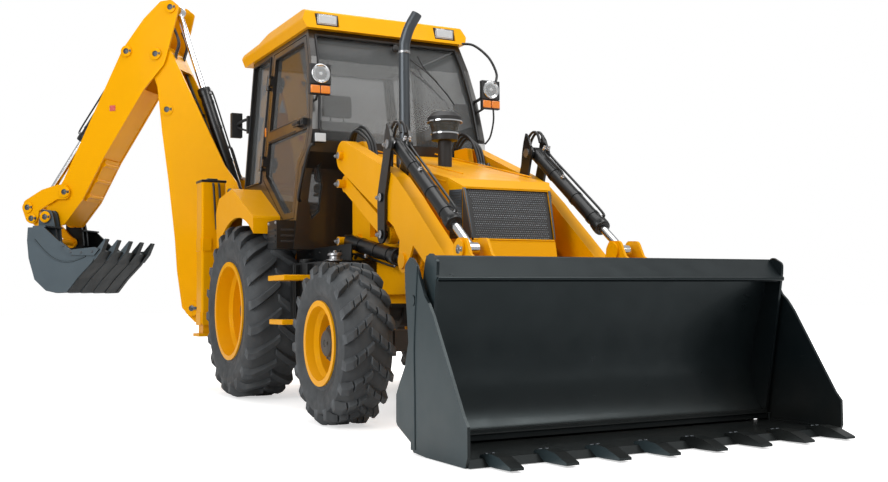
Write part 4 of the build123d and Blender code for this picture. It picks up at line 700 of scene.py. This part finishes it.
def ram_trim(name, body, base, eye, reach, barrel_r, point, side_dir, up_dir, ports=(0.10, 0.94)):
    """A ram barrel's gland nut, wiper ring, ports and the steel pipe along its back."""
    start, end = point(*base), point(*eye)
    along = (end - start).normalized()
    up = (up_dir - along * up_dir.dot(along)).normalized()

    def at(share):
        """A point on the barrel's axis, at a share of its length."""
        return start + along * reach * share / 1000

    trim = Piece(name + "_glands", body, BLACK)
    trim.lathe(start + along * reach / 1000 - along * 0.052, along, [
        (0, barrel_r + 4), (0, barrel_r + 9), (44, barrel_r + 9), (50, barrel_r + 5), (54, barrel_r - 4),
        (54, barrel_r * 0.72), (48, barrel_r * 0.66), (0, barrel_r * 0.8), (0, barrel_r + 4),
    ], 12)
    trim.done(1.5)
    pipe = Piece(name + "_pipe", body, BLACK)
    fittings = Piece(name + "_fittings", body, STEEL)
    lift = (barrel_r + 24) / 1000
    first = at(ports[0])
    for offset, stop in ((-1, at(0.42)), (1, at(ports[1]))):
        shift = side_dir * 0.016 * offset
        pipe.tube([first + shift + up * (lift + 0.030), first + along * 0.03 + shift + up * lift,
                   (first + stop) / 2 + shift + up * lift, stop - along * 0.03 + shift + up * lift,
                   stop + shift + up * (lift - 0.022)], 8)
        fittings.lathe(stop + shift + up * (barrel_r - 6) / 1000, up, [
            (0, 0), (0, 15), (12, 15), (14, 11), (24, 11), (24, 0)], 6)
        fittings.lathe(first + shift + up * (lift + 0.012), up, [
            (0, 0), (0, 13), (16, 13), (18, 10), (30, 10), (30, 0)], 6)
    for share in (0.3, 0.62, 0.86):
        pipe.band(at(share) - along * 0.012, along, barrel_r + 0.5, barrel_r + 3.5, 24, 36)
    pipe.done(0)
    fittings.done(0.8)


ARM_Y = 520        # the middle of each loader arm and of its rams
for label, side in SIDES:
    def on_side(x, z, side=side):
        """A point in the plane of one loader arm."""
        return V(x, side * ARM_Y, z)

    ram_trim(f"{label}_crowd_ram", "crowd_barrels", (2035, 1735), (3000, 1020), 940, 45, on_side, Y,
             Z + X * 0.4)
    ram_trim(f"{label}_lift_ram", "lift_barrels", (1200, 1160), (2200, 985), 850, 50, on_side, Y, -Z,
             (0.12, 0.9))
ram_trim("boom_ram", "boom_barrel", (200, 1060), (549, 2527), 950, 60, A, N_DIR, -R_DIR)
ram_trim("dipper_ram", "dipper_barrel", (-83, 1745), (507, 3478), 1040, 55, A, N_DIR, -R_DIR)
ram_trim("bucket_ram", "bucket_barrel", (949, 3089), (1946, 1650), 976, 50, A, N_DIR, R_DIR + Z)

hoses = Piece("arm_pivot_hoses", None, HOSE)
clamps = Piece("arm_pivot_hose_ends", "machine", STEEL)
arm_clamps = Piece("arm_pivot_hose_arm_ends", "arms", STEEL)
for side in (-1, 1):
    for i, y in enumerate((405, 427, 449)):
        top = 1984 - 16 * i
        points = sided(side, (1040, y, 1720), (1030, y, 1850), (1080, y + 6, top - 35), (1170, y + 6, top),
                       (1290, y + 6, top - 45), (1390, y, 1840), (1450, y, 1700))
        hoses.tube(points, 10.5, 10, 8)
        for piece, end, ahead in ((clamps, points[0], points[1]), (arm_clamps, points[-1], points[-2])):
            piece.lathe(end - (ahead - end).normalized() * 0.02, ahead - end, [
                (0, 0), (0, 13), (14, 13), (16, 15), (34, 15), (38, 12), (58, 12), (58, 0)], 6)
pivot_hoses = hoses.done(0)
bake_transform(pivot_hoses)
clamps.done(1.0)
arm_clamps.done(1.0)

PIPE_Y = 462       # the pipes run on the arm's inner face
lines = Piece("loader_arm_pipes", "arms", BLACK)
brackets = Piece("loader_arm_pipe_brackets", "arms", STEEL)
for side in (-1, 1):
    for drop in (34, 58, 82):
        route = [(1330, 1800), (1600, 1700), (1850, 1600), (2060, 1515)]
        lines.tube([V(x, side * PIPE_Y, z - drop) for x, z in route], 7.5)
    for x, z in ((1480, 1690), (1780, 1575)):
        brackets.block(V(x, side * PIPE_Y, z), (18, 20, 86))
lines.done(0)
brackets.done(1.2)

crowd = Piece("crowd_ram_hoses", "rockers", HOSE)
for side in (-1, 1):
    for offset in (-1, 1):
        y = side * (ARM_Y + offset * 16)
        route = [(2112, 1800), (2075, 1868), (2010, 1880), (1940, 1820), (1905, 1690), (1900, 1560)]
        crowd.tube([V(x, y, z) for x, z in route], 9.5, 10, 8)
crowd.done(0)

bundle = Piece("boom_hoses", "boom_arm", HOSE)
straps = Piece("boom_hose_clamps", "boom_arm", BLACK)
for i, n in enumerate((-105, -80, 80, 105)):
    route = [(150, 1360), (60, 1600), (60, 1850), (150, 2150), (300, 2480), (440, 2800), (500, 3010),
             (470, 3160), (520, 3300)]
    bundle.tube([A(r - 4 * i, z, n) for r, z in route], 10.5, 10, 6)
for r, z in ((150, 2150), (300, 2480)):
    for n in (-92, 92):
        straps.block(A(r, z, n), (30, 62, 36), basis(N_DIR))
bundle.done(0)
straps.done(1.5)

# ---- Lamps, mirrors and small cab fittings ----

# Roof lamps, headlamps over orange indicators on their arms, and the white marker boxes.
ROOF_LAMP_Y, HEADLAMP_Y = 497, 697
housing = Piece("lamp_housings", "machine", PLASTIC)
lens = Piece("lamp_lenses", "machine", LENS)
bezel = Piece("lamp_bezels", "machine", CHROME)
amber = Piece("indicator_lenses", "machine", ORANGE)
cover = Piece("headlamp_glasses", "machine", LAMP_GLASS)
marker = Piece("marker_boxes", "machine", WHITE_BOX)
for side in (-1, 1):
    housing.block(V(690, side * ROOF_LAMP_Y, 2855), (80, 178, 92))
    lens.block(V(735, side * ROOF_LAMP_Y, 2857), (12, 138, 62))
    corners = ((-78, -38), (78, -38), (78, 38), (-78, 38))
    bezel.prism([V(729, side * ROOF_LAMP_Y + across, 2857 + up) for across, up in corners], X * 5)
    housing.block(V(1100, side * HEADLAMP_Y, 2354), (40, 158, 146))
    housing.block(V(1098, side * 700, 2243), (34, 158, 74))
    for half in (-1, 1):
        amber.block(V(1119, side * 700 + half * 38, 2243), (14, 70, 56))
    lamp = V(1118, side * HEADLAMP_Y, 2356)
    bezel.lathe(lamp, X, [
        (0, 68), (8, 70), (12, 65), (9, 60), (-2, 40), (-6, 12), (-6, 0)], 48)
    lens.lathe(V(1114, side * HEADLAMP_Y, 2356), X, [
        (0, 0), (16, 0.1), (15, 10), (8, 14), (2, 14), (0, 0)], 24)
    cover.lathe(lamp, X, [(13, 0), (12, 30), (8, 62), (5, 64), (9, 30), (10, 0)], 48)
    arm = sided(side, (880, 650, 2285), (960, 672, 2300), (1040, 690, 2330), (1092, 697, 2350))
    housing.tube(arm, 12, 10)
    housing.tube(sided(side, (905, 655, 2200), (985, 678, 2215), (1088, 697, 2250)), 9, 10)
    marker.block(V(990, side * 657, 1918), (38, 84, 62))
    housing.block(V(984, side * 657, 1918), (40, 92, 70))
lamp_housings = housing.done(5)
for piece, bevel in ((lens, 4), (bezel, 1.5), (amber, 5), (marker, 5), (cover, 0)):
    piece.done(bevel)
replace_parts(lamp_housings, "lamps")

mirror = Piece("mirror_heads", "machine", PLASTIC)
mirror_glass = Piece("mirror_glass", "machine", CHROME)
for side in (-1, 1):
    mirror.block(V(-812, side * 742, 2268), (50, 96, 214))
    mirror_glass.block(V(-839, side * 742, 2268), (6, 78, 190))
    for y, z, radius in ((688, (2300, 2296, 2282, 2270), 13), (694, (2200, 2216, 2240, 2256), 9)):
        stalk = zip((-625, -690, -760, -800), (y, 712, 732, 740), z)
        mirror.tube(sided(side, *stalk), radius, 10)
    mirror.block(V(-628, side * 692, 2252), (40, 24, 150))
mirror.done(9, segments=3)
mirror_glass.done(2)

loop = Piece("mirror_bar_left", "machine", BLACK)
loop.tube(sided(1, (745, 640, 2790), (850, 700, 2760), (990, 752, 2640), (1080, 770, 2500),
                (1108, 745, 2420)), 10, 10, 8)
loop.tube(sided(1, (1105, 722, 2225), (1110, 722, 2120), (1075, 712, 2000), (1015, 700, 1950)), 7, 10, 8)
loop.done(0)

SCREEN_LINE = [(700, 2780), (825, 2550), (925, 2280), (985, 1980)]


def screen(z, y, out=14):
    """A point just outside the windscreen at a height."""
    for (x1, z1), (x2, z2) in zip(SCREEN_LINE, SCREEN_LINE[1:]):
        if z2 <= z <= z1:
            return V(x1 + (x2 - x1) * (z - z1) / (z2 - z1) + out, y, z)
    return V(SCREEN_LINE[-1][0] + out, y, z)


wiper = Piece("wiper", "machine", PLASTIC)
wiper.lathe(screen(2690, 60, 0), X, [(0, 0), (0, 30), (14, 30), (22, 20), (30, 14), (30, 0)], 24)
wiper.tube([screen(2690, 60, 22), screen(2600, 150, 26), screen(2510, 260, 24), screen(2430, 350, 18)], 6, 8)
blade = ((2640, 230), (2540, 262), (2430, 345), (2330, 420), (2250, 470))
wiper.tube([screen(z, y, 12) for z, y in blade], 5, 6)
wiper.done(0)

seals = Piece("window_seals", "machine", HOSE)
for side in (-1, 1):
    quarter = [(-590, 2735), (-140, 2735), (-140, 1700), (-545, 1700)]
    for (x1, z1), (x2, z2) in zip(quarter, quarter[1:] + quarter[:1]):
        run = ((x1, z1), ((x1 + x2) / 2, (z1 + z2) / 2), (x2, z2))
        seals.tube([V(x, side * (cab_y(z) + 3), z) for x, z in run], 8, 6, 3)
seals.tube([screen(2735, y, 4) for y in (-590, 0, 590)], 9, 6, 3)
for side in (-1, 1):
    seals.tube([screen(z, side * (cab_y(z) - 52), 4) for z in (2735, 2550, 2280, 2100, 1980)], 9, 6, 3)
seals.done(0)

reflectors = Piece("side_reflectors", "machine", ORANGE)
for side in (-1, 1):
    reflectors.block(V(-118, side * (cab_y(2110) + 3), 2110), (26, 8, 74))
reflectors.done(2.5)

LATCH_Z = 2055
for label, side in SIDES:
    latch = Piece(f"{label}_door_latch", f"door_{label}", PLASTIC)
    y = cab_y(LATCH_Z) + 16
    latch.block(V(820, side * y, LATCH_Z), (70, 34, 52))
    latch.lathe(V(832, side * (y + 16), LATCH_Z), Y * side, [(0, 0), (0, 15), (6, 15), (8, 12), (8, 0)], 20)
    latch.block(V(720, side * (y + 24), LATCH_Z), (120, 16, 20))
    for z, up in ((2700, -6), (2105, -6), (2005, 10)):
        latch.block(V(300, side * (cab_y(z) + 1), z + up), (640, 6, 10))
    latch.done(3)

grips = Piece("grab_rails", "machine", BLACK)
for side in (-1, 1):
    grips.tube(sided(side, (985, 700, 1870), (1008, 742, 1840), (960, 765, 1700), (868, 775, 1500),
                     (835, 752, 1470)), 12, 12, 6)
grips.done(0)

# ---- Cab interior: the seat, levers, instrument pod and lining ----


def cushion(name, centre, size, puff, lean=0.0, channels=0):
    """A padded piece: a rounded block whose faces crown, sides pull in and sewn channels sink."""
    sx, sy, sz = (s / 2000 for s in size)
    bm = bmesh.new()
    bmesh.ops.create_cube(bm, size=2)
    bmesh.ops.subdivide_edges(bm, edges=bm.edges, cuts=15, use_grid_fill=True)
    thin = min(range(3), key=lambda k: size[k])
    wide = [k for k in range(3) if k != thin]
    for v in bm.verts:
        p = v.co.copy()
        u, w = p[wide[0]], p[wide[1]]
        crown = (1 - u ** 4) * (1 - w ** 4)
        rounded = list(p)
        for k, other in (wide, wide[::-1]):
            rounded[k] *= 1 - 0.07 * abs(p[thin]) ** 6 - 0.035 * abs(p[other]) ** 8
        rounded[thin] *= 1 - puff + puff * crown
        if channels and p[thin] > 0.9:
            dip = sum(math.exp(-((w * channels / 2 - c) * 9) ** 2) for c in range(-channels, channels + 1))
            rounded[thin] -= 0.13 * min(1, dip) * (1 - abs(u) ** 6)
        v.co = Vector((rounded[0] * sx, rounded[1] * sy, rounded[2] * sz))
    mesh = bpy.data.meshes.new(name)
    bm.to_mesh(mesh)
    bm.free()
    mesh.materials.append(FABRIC)
    obj = put(name, mesh)
    mesh.transform(Matrix.Translation(centre) @ Matrix.Rotation(math.radians(lean), 4, "Y"))
    sub = obj.modifiers.new("smooth", "SUBSURF")
    sub.levels = sub.render_levels = 1
    mesh.shade_smooth()
    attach(obj, "seat")


SX, SZ = -70, 1480     # the middle of the seat's foot
base = Piece("seat_base", "seat", PLASTIC)
base.lathe(V(SX, 0, SZ + 3), Z, [(0, 0), (0, 150), (8, 150), (14, 128), (50, 118), (56, 0)], 40)
base.block(V(SX, 0, SZ + 100), (370, 390, 84))
base.block(V(SX + 8, 0, SZ + 152), (440, 470, 22))
for i in range(5):
    base.block(V(SX, 0, SZ + 68 + 15 * i), (386 + 4 * (i % 2), 404 + 4 * (i % 2), 6))
for side in (-1, 1):
    arm = sided(side, (SX - 205, 235, SZ + 330), (SX - 200, 262, SZ + 420), (SX - 160, 288, SZ + 452))
    base.tube(arm, 13, 10)
for side in (-1, 1):
    base.tube(sided(side, (SX - 250, 60, SZ + 770), (SX - 258, 60, SZ + 860)), 8, 10)
seat_base = base.done(4)
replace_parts(seat_base, "operator_seat")
cushion("seat_cushion", V(SX + 10, 0, SZ + 212), (462, 484, 100), 0.24, lean=-2, channels=4)
cushion("seat_back", V(SX - 212, 0, SZ + 525), (96, 464, 540), 0.22, lean=-6, channels=0)
cushion("seat_headrest", V(SX - 262, 0, SZ + 930), (82, 262, 190), 0.3, lean=-4)
for label, side in SIDES:
    cushion(f"{label}_arm_pad", V(SX - 45, side * 290, SZ + 456), (320, 52, 46), 0.25)

cab = Piece("cab_controls", "machine", PLASTIC)
for y, top_y in ((-300, -294), (300, 294), (-255, -249)):
    cab.tube([V(250, y, 1290), V(262, y, 1480), V(282, top_y, 1690)], 8, 8)
    cab.lathe(V(282, top_y, 1680), Z, [(0, 0), (0, 14), (20, 20), (50, 22), (68, 16), (74, 0)], 16)
cab.block(V(655, 0, 1690), (90, 300, 120), Matrix.Rotation(math.radians(-25), 3, "Y"))
cab.done(8)
Piece("headliner", "machine", LINER).block(V(40, 0, 2738), (1180, 1060, 10)).done(6)

# ---- Hood, grille, exhaust and pre-cleaner ----

HOOD_NOSE = ((2517, 1432), (2604, 1087))     # top and foot of the sloping front
STUD_PITCH = 14.3


def nose(s, y, out):
    """A point on the hood's front: s mm down its slope, `out` proud of it."""
    (x1, z1), (x2, z2) = HOOD_NOSE
    length = math.hypot(x2 - x1, z2 - z1)
    nx, nz = (z1 - z2) / length, (x2 - x1) / length
    return V(x1 + (x2 - x1) * s / length + nx * out, y, z1 + (z2 - z1) * s / length + nz * out)


studs = Piece("grille_studs", "hood_body", GRILLE)
face = (nose(0, 0, 1) - nose(0, 0, 0)).normalized()
for row in range(23):
    s = 22 + STUD_PITCH * row
    reach = 276 - 0.06 * s
    count = int(reach // STUD_PITCH)
    for k in range(-count, count + 1):
        y = (k + (0.5 if row % 2 else 0)) * STUD_PITCH
        if abs(y) <= reach:
            studs.lathe(nose(s, y, -12), face, [(-1, 5.2), (2.5, 4.3), (4, 2.0), (4, 0)], 6)
studs.done(0, smooth=False)

trim = Piece("grille_surround", "hood_body", YELLOW)
for s in (4, 338):
    trim.tube([nose(s, y, -2) for y in (-288, 0, 288)], 6, 8, 3)
trim.done(0)
vents = Piece("corner_vents", "hood_body", DARK_STEEL, "black_paint")
for side in (-1, 1):
    for z in range(1120, 1120 + 17 * 17, 17):
        rib = sided(side, (2438, 362, z), (2512, 318, z), (2517, 325, z + 2), (2443, 369, z + 2))
        vents.prism(rib, Z * 9)
    sheet = sided(side, (2434, 364, 1112), (2514, 319, 1112), (2516, 322, 1112), (2436, 367, 1112))
    vents.prism(sheet, Z * 300)
    vents.prism(sided(side, (2517, 313.5, 1424), (2519, 313.5, 1112), (2598, 295, 1112)), Y * side * 4)
    strip = ((10, 297), (10, 311), (330, 294), (330, 290))
    vents.prism([nose(s, side * y, -1) for s, y in strip], face * 4)
vents.done(1)

crease = Piece("hood_creases", "hood_body", YELLOW)
for side in (-1, 1):
    for radius, y, taper, zs in ((7, 384, 0.0133, (1787, 1632, 1467)), (5, 250, 0, (1843, 1688, 1523))):
        run = zip((1040, 1700, 2400), zs)
        crease.tube([V(x, side * (y - (x - 1000) * taper), z) for x, z in run], radius, 8, 4)
crease.done(0)
latches = Piece("hood_latches", "hood_body", PLASTIC)
for side in (-1, 1):
    for x in (1250, 2150):
        latches.block(V(x, side * (386 - (x - 1000) * 0.0133), 1090), (34, 16, 76))
latches.done(4)

CLEANER_X, STACK_X, STACK_Y = 1680, 1720, -325
bands = Piece("precleaner_bands", "hood_body", CHROME)
bands.band(V(CLEANER_X, 0, 1884), Z, 91, 96, 10, 48)
bands.band(V(CLEANER_X, 0, 1966), Z, 119, 123.5, 9, 48)
bands.lathe(V(CLEANER_X, 0, 2036), Z, [(0, 0), (0, 20), (9, 20), (14, 12), (18, 0)], 16)
bands.done(0)
Piece("precleaner_bowl", "hood_body", BOWL_GLASS).lathe(V(CLEANER_X, 0, 1893), Z, [
    (0, 88), (10, 92), (72, 110), (74, 108), (10, 90), (0, 86), (0, 88)], 48).done(0)
stack = Piece("exhaust_pipe", "hood_body", DARK_STEEL, "black_paint")
stack_run = sided(1, (STACK_X, STACK_Y, 1600), (STACK_X, STACK_Y, 2000), (STACK_X, STACK_Y, 2420),
                  (1724, -318, 2500), (1738, -292, 2590), (1760, -248, 2680))
stack.lathe(stack_run[0], Z, [(-40, 0), (-40, 58), (118, 58), (124, 52), (124, 30), (-40, 0)], 36)
stack.tube(stack_run, 37, 28, 10)
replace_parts(stack.done(1.5), "exhaust_stack")
tip_way = (stack_run[-1] - stack_run[-2]).normalized()
Piece("exhaust_mouth", "hood_body", HOSE).lathe(stack_run[-1], tip_way, [
    (1, 0), (1, 32), (4, 34), (4, 0)], 28).done(0)
clamp = Piece("exhaust_clamps", "hood_body", STEEL)
for z in (1790, 2410):
    clamp.band(V(STACK_X, STACK_Y, z), Z, 36, 41, 16, 36)
    clamp.bolt(V(STACK_X + 40, STACK_Y, z + 8), X, 12, 8)
clamp.done(0.8)

# ---- Chassis, steps, legs and buckets ----

treads = Piece("step_treads", "machine", BLACK)
plates = Piece("step_plates", "machine", YELLOW)
for side in (-1, 1):
    for z, (x0, x1) in ((918, (900, 1240)), (613, (930, 1200))):
        plates.block(V((x0 + x1) / 2, side * 911, z - 14), (x1 - x0 + 10, 208, 36))
        for y in range(820, 820 + 9 * 22, 22):
            treads.block(V((x0 + x1) / 2, side * y, z + 2), (x1 - x0 - 20, 7, 8))
treads.done(1.5)
plates.done(5)
# The gearbox's ribbed side closes the gap over the tank.
pan = Piece("gearbox_cover", "machine", IRON)
pan.block(V(1180, 0, 1090), (620, 640, 190))
for i in range(6):
    pan.block(V(900 + 110 * i, 0, 1090), (14, 664, 206))
pan.done(8)
panels = Piece("under_cab_panels", "machine", BLACK)
for side in (-1, 1):
    panels.block(V(1050, side * 620, 1066), (880, 10, 124))
    panels.block(V(480, side * 590, 1066), (340, 10, 140))
    for x in (700, 900, 1100, 1300):
        panels.bolt(V(x, side * 626, 1090), Y * side, 17, 8)
panels.done(2)
filler = Piece("tank_filler", "machine", STEEL)
for side in (-1, 1):
    filler.lathe(V(1440, side * 720, 1010), Z, [
        (0, 0), (0, 62), (10, 62), (14, 40), (34, 36), (38, 52), (52, 50), (58, 34), (58, 0)], 36)
    filler.bolt(V(1440, side * 720, 1068), Z, 24, 14)
filler.done(1)
tanks = Piece("tank_fittings", "machine", BLACK)
for side in (-1, 1):
    tanks.lathe(V(840, side * 700, 1008), Z, [(0, 0), (0, 55), (10, 58), (34, 58), (40, 50), (42, 0)], 24)
    for x in (820, 1440):
        tanks.block(V(x, side * 802, 785), (44, 8, 446))
        tanks.block(V(x, side * 620, 1013), (44, 350, 8))
tanks.done(2.5)
slots = Piece("slotted_box_cover", "machine", HOSE)
bolts = Piece("slotted_box_bolts", "machine", STEEL)
for side in (-1, 1):
    for z in (1175, 1217, 1259):
        slots.block(V(690, side * 917, z), (150, 6, 16))
        slots.block(V(792, side * 808, z), (6, 150, 16))
    for x in (610, 768):
        bolts.bolt(V(x, side * 914, 1312), Y * side, 17, 9)
slots.done(2)
bolts.done(0.8)

caps = Piece("stabiliser_caps", "machine", BLACK)
guides = Piece("stabiliser_guides", "machine", YELLOW)
leg_hoses = Piece("stabiliser_hoses", "machine", HOSE)
for side in (-1, 1):
    caps.block(V(-890, side * 940, 1774), (188, 218, 22))
    caps.block(V(-890, side * 940, 1792), (90, 90, 20))
    for y in (904, 952):
        leg_hoses.tube(sided(side, (-786, y, 1752), (-770, y, 1728), (-764, y - 4, 1650),
                             (-770, y - 15, 1500), (-786, y - 30, 1360)), 10, 10, 8)
    for z in (600, 1230):
        guides.block(V(-890, side * 1046, z), (150, 10, 110))
        guides.block(V(-796, side * 1000, z), (12, 80, 110))
caps.done(4)
guides.done(3)
leg_hoses.done(0)

edge = Piece("cutting_edge_bolts", "clam", DARK_STEEL)
for i in range(8):
    for dy in (-17, 17):
        edge.bolt(V(4010, (i - 3.5) * 286 + dy, 47), Z, 19, 10)
edge.done(0.8)
weld = Piece("clam_weld_beads", "clam", BUCKET)
for side in (-1, 1):
    weld.tube(sided(side, (3590, 1147, 905), (3550, 1147, 557), (3550, 1147, 300), (3550, 1147, 24)), 5, 6, 8)
    weld.tube([V(x, side * 1129, 37) for x in (3560, 3760, 3990)], 6, 6, 10)
weld.done(0)
lip = Piece("bucket_lip_bar", "loader_bucket", BUCKET)
for x, z, radius in ((3708, 842, 11), (3606, 948, 9)):
    lip.tube([V(x, y, z) for y in (-1100, 0, 1100)], radius, 10, 4)
lip.done(0)
# The hoe bucket's back, from under the dipper round to the teeth, and its five teeth's places.
HOE_BACK = [(1696, 960), (1583, 861), (1479, 839), (1369, 842), (1262, 970), (1122, 1107), (1048, 1216)]
HOE_TEETH = [(i / 4 - 0.5) * 850 for i in range(5)]
straps = Piece("hoe_bucket_straps", "digging_bucket", HOE)
for n in HOE_TEETH:
    for (r1, z1), (r2, z2) in zip(HOE_BACK, HOE_BACK[1:]):
        run = Vector((r2 - r1, z2 - z1)).normalized()
        out = (R_DIR * -run.y + Z * run.x) * -1
        ends = [A(r1, z1, n - 24), A(r2, z2, n - 24), A(r2, z2, n + 24), A(r1, z1, n + 24)]
        straps.prism([e - out * 0.004 for e in ends], out * 13)
for side in (-1, 1):
    ridge = [(1700, 1330), (1600, 1225), (1500, 1150), (1400, 1120), (1300, 1125), (1180, 1165)]
    straps.tube([A(r, z, side * 461) for r, z in ridge], 7, 8, 6)
straps.done(3)
# A smooth sheet over the bucket's inside, with a second one close behind it.
inside = [(3602, 930), (3556, 800), (3494, 610), (3448, 440), (3432, 310), (3452, 190), (3506, 92),
          (3560, 62)]
liner = Piece("bucket_liner", "loader_bucket", BUCKET)
path = smoothed([Vector(q) for q in inside], 6)
rows = []
for i, q in enumerate(path):
    run = (path[min(i + 1, len(path) - 1)] - path[max(i - 1, 0)]).normalized()
    inward = Vector((-run.y, run.x))
    sheets = (q + inward * 17, q + inward * 9)
    rows.append([liner.bm.verts.new(V(c.x, y, c.y)) for c in sheets for y in (-1092, -360, 360, 1092)])
for one, two in zip(rows, rows[1:]):
    for k in (0, 1, 2, 4, 5, 6):
        liner.bm.faces.new((one[k], one[k + 1], two[k + 1], two[k]))
liner.done(0)
strip = Piece("clam_rear_strip", "clam", BUCKET)
strip.block(V(3530, 0, 19), (90, 2258, 12))
for side in (-1, 1):
    strip.block(V(3512, side * 1121, 44), (100, 18, 62))
strip.done(2)
heel = Piece("bucket_heel_plate", "loader_bucket", BUCKET)
heel.block(V(3444, 0, 84), (8, 2206, 136))
for i in range(9):
    heel.bolt(V(3440, (i - 4) * 250, 120), -X, 19, 9)
heel.done(1.5)
hoe_bolts = Piece("hoe_bucket_bolts", "digging_bucket", DARK_STEEL)
for n in HOE_TEETH:
    for dn in (-16, 16):
        hoe_bolts.bolt(A(1104, 1172, n + dn), -R_DIR * 0.75 - Z * 0.65, 17, 9)
for side in (-1, 1):
    for r, z in ((1110, 1205), (1220, 1200), (1325, 1205), (1400, 1262)):
        hoe_bolts.bolt(A(r, z, side * 475), N_DIR * side, 19, 6)
hoe_bolts.done(0.8)
patch = Piece("dipper_reflectors", "dipper_arm", RED)
for side in (-1, 1):
    patch.block(A(1090, 2560, side * 172.5), (60, 52, 4), basis(N_DIR))
patch.done(1.5)

# ---- Floor, light and camera ----


def seen_directly(tree):
    """A value of one for rays from the camera, also through glass, and of zero for light on the machine."""
    path = node(tree, "ShaderNodeLightPath")
    seen = node(tree, "ShaderNodeMath", operation="MAXIMUM")
    for i, kind in enumerate(("Is Camera Ray", "Is Transmission Ray")):
        connect(path.outputs[kind], seen, i)
    return seen.outputs[0]


floor_material, tree, shader = new_material("floor_white", (0.86, 0.86, 0.86), 0.9, specular=0.1)
connect(ramp(tree, noise(tree, 0.7), 0.3, 0.7, 0.85, 0.87), shader, "Base Color")
# The floor glows to plain white away from the machine, and keeps a soft shadow near it.
seen = seen_directly(tree)
coords = node(tree, "ShaderNodeTexCoord")
length = node(tree, "ShaderNodeVectorMath", operation="LENGTH")
connect(coords.outputs["Object"], length, 0)
reach = node(tree, "ShaderNodeMapRange", interpolation_type="SMOOTHSTEP", **{
    "From Min": 3.6, "From Max": 7.0, "To Min": 0.55, "To Max": 1.0})
connect(length.outputs["Value"], reach, "Value")
shader.inputs["Emission Color"].default_value = (1, 1, 1, 1)
connect(times(tree, seen, reach.outputs["Result"]), shader, "Emission Strength")
mesh = bpy.data.meshes.new("floor")
corners = [(x * 60, y * 60, -0.002) for x, y in ((-1, -1), (1, -1), (1, 1), (-1, 1))]
mesh.from_pydata(corners, [], [(0, 1, 2, 3)])
mesh.materials.append(floor_material)
put("floor", mesh)

world = bpy.data.worlds.new("studio")
bpy.context.scene.world = world
world.use_nodes = True
tree = world.node_tree
background = tree.nodes["Background"]
background.inputs["Color"].default_value = (1, 1, 1, 1)
# White behind the machine, and half as bright as a light on it.
strength = node(tree, "ShaderNodeMapRange", **{"To Min": 0.50, "To Max": 1.0})
connect(seen_directly(tree), strength, "Value")
connect(strength.outputs["Result"], background, "Strength")


def area(name, at, aim, size, watts, tint=(1, 1, 1)):
    """A soft square light that points at a spot."""
    data = bpy.data.lights.new(name, "AREA")
    data.energy, data.size, data.color = watts, size, tint
    obj = put(name, data)
    obj.location = at
    obj.rotation_euler = (Vector(aim) - Vector(at)).to_track_quat("-Z", "Y").to_euler()


area("key", (6.5, 3.5, 8.5), (0.5, 0, 1.0), 5.0, 500, (1.0, 0.99, 0.97))
area("fill", (4.0, -9.0, 5.0), (0, 0, 1.2), 6.0, 520, (0.98, 0.99, 1.0))
area("top", (-1.0, 0.0, 9.5), (-1.0, 0.0, 0), 7.0, 340)
area("rim", (-8.0, 4.0, 5.0), (0, 0, 1.5), 4.0, 220)

# The camera as solved from the photograph; the lens and its shift in mm and shares of the width.
CAMERA_AT = V(8206, -3394, 741)
YAW, PITCH, ROLL = math.radians(27.73), math.radians(3.02), math.radians(0.53)
forward = Vector((-math.cos(YAW) * math.cos(PITCH), math.sin(YAW) * math.cos(PITCH), math.sin(PITCH)))
level = forward.cross(Z).normalized()
roll = Matrix.Rotation(ROLL, 3, forward)
right, up = roll @ level, roll @ level.cross(forward)
data = bpy.data.cameras.new("camera")
data.sensor_width, data.lens = 36, 43.345946
data.shift_x, data.shift_y = -0.0072072072, 0.0027027027
data.clip_end = 200
camera = put("camera", data)
camera.matrix_world = Matrix.Translation(CAMERA_AT) @ Matrix((right, up, -forward)).transposed().to_4x4()
bpy.context.scene.camera = camera
bpy.context.scene.view_settings.view_transform = "Standard"

bpy.context.view_layer.update()
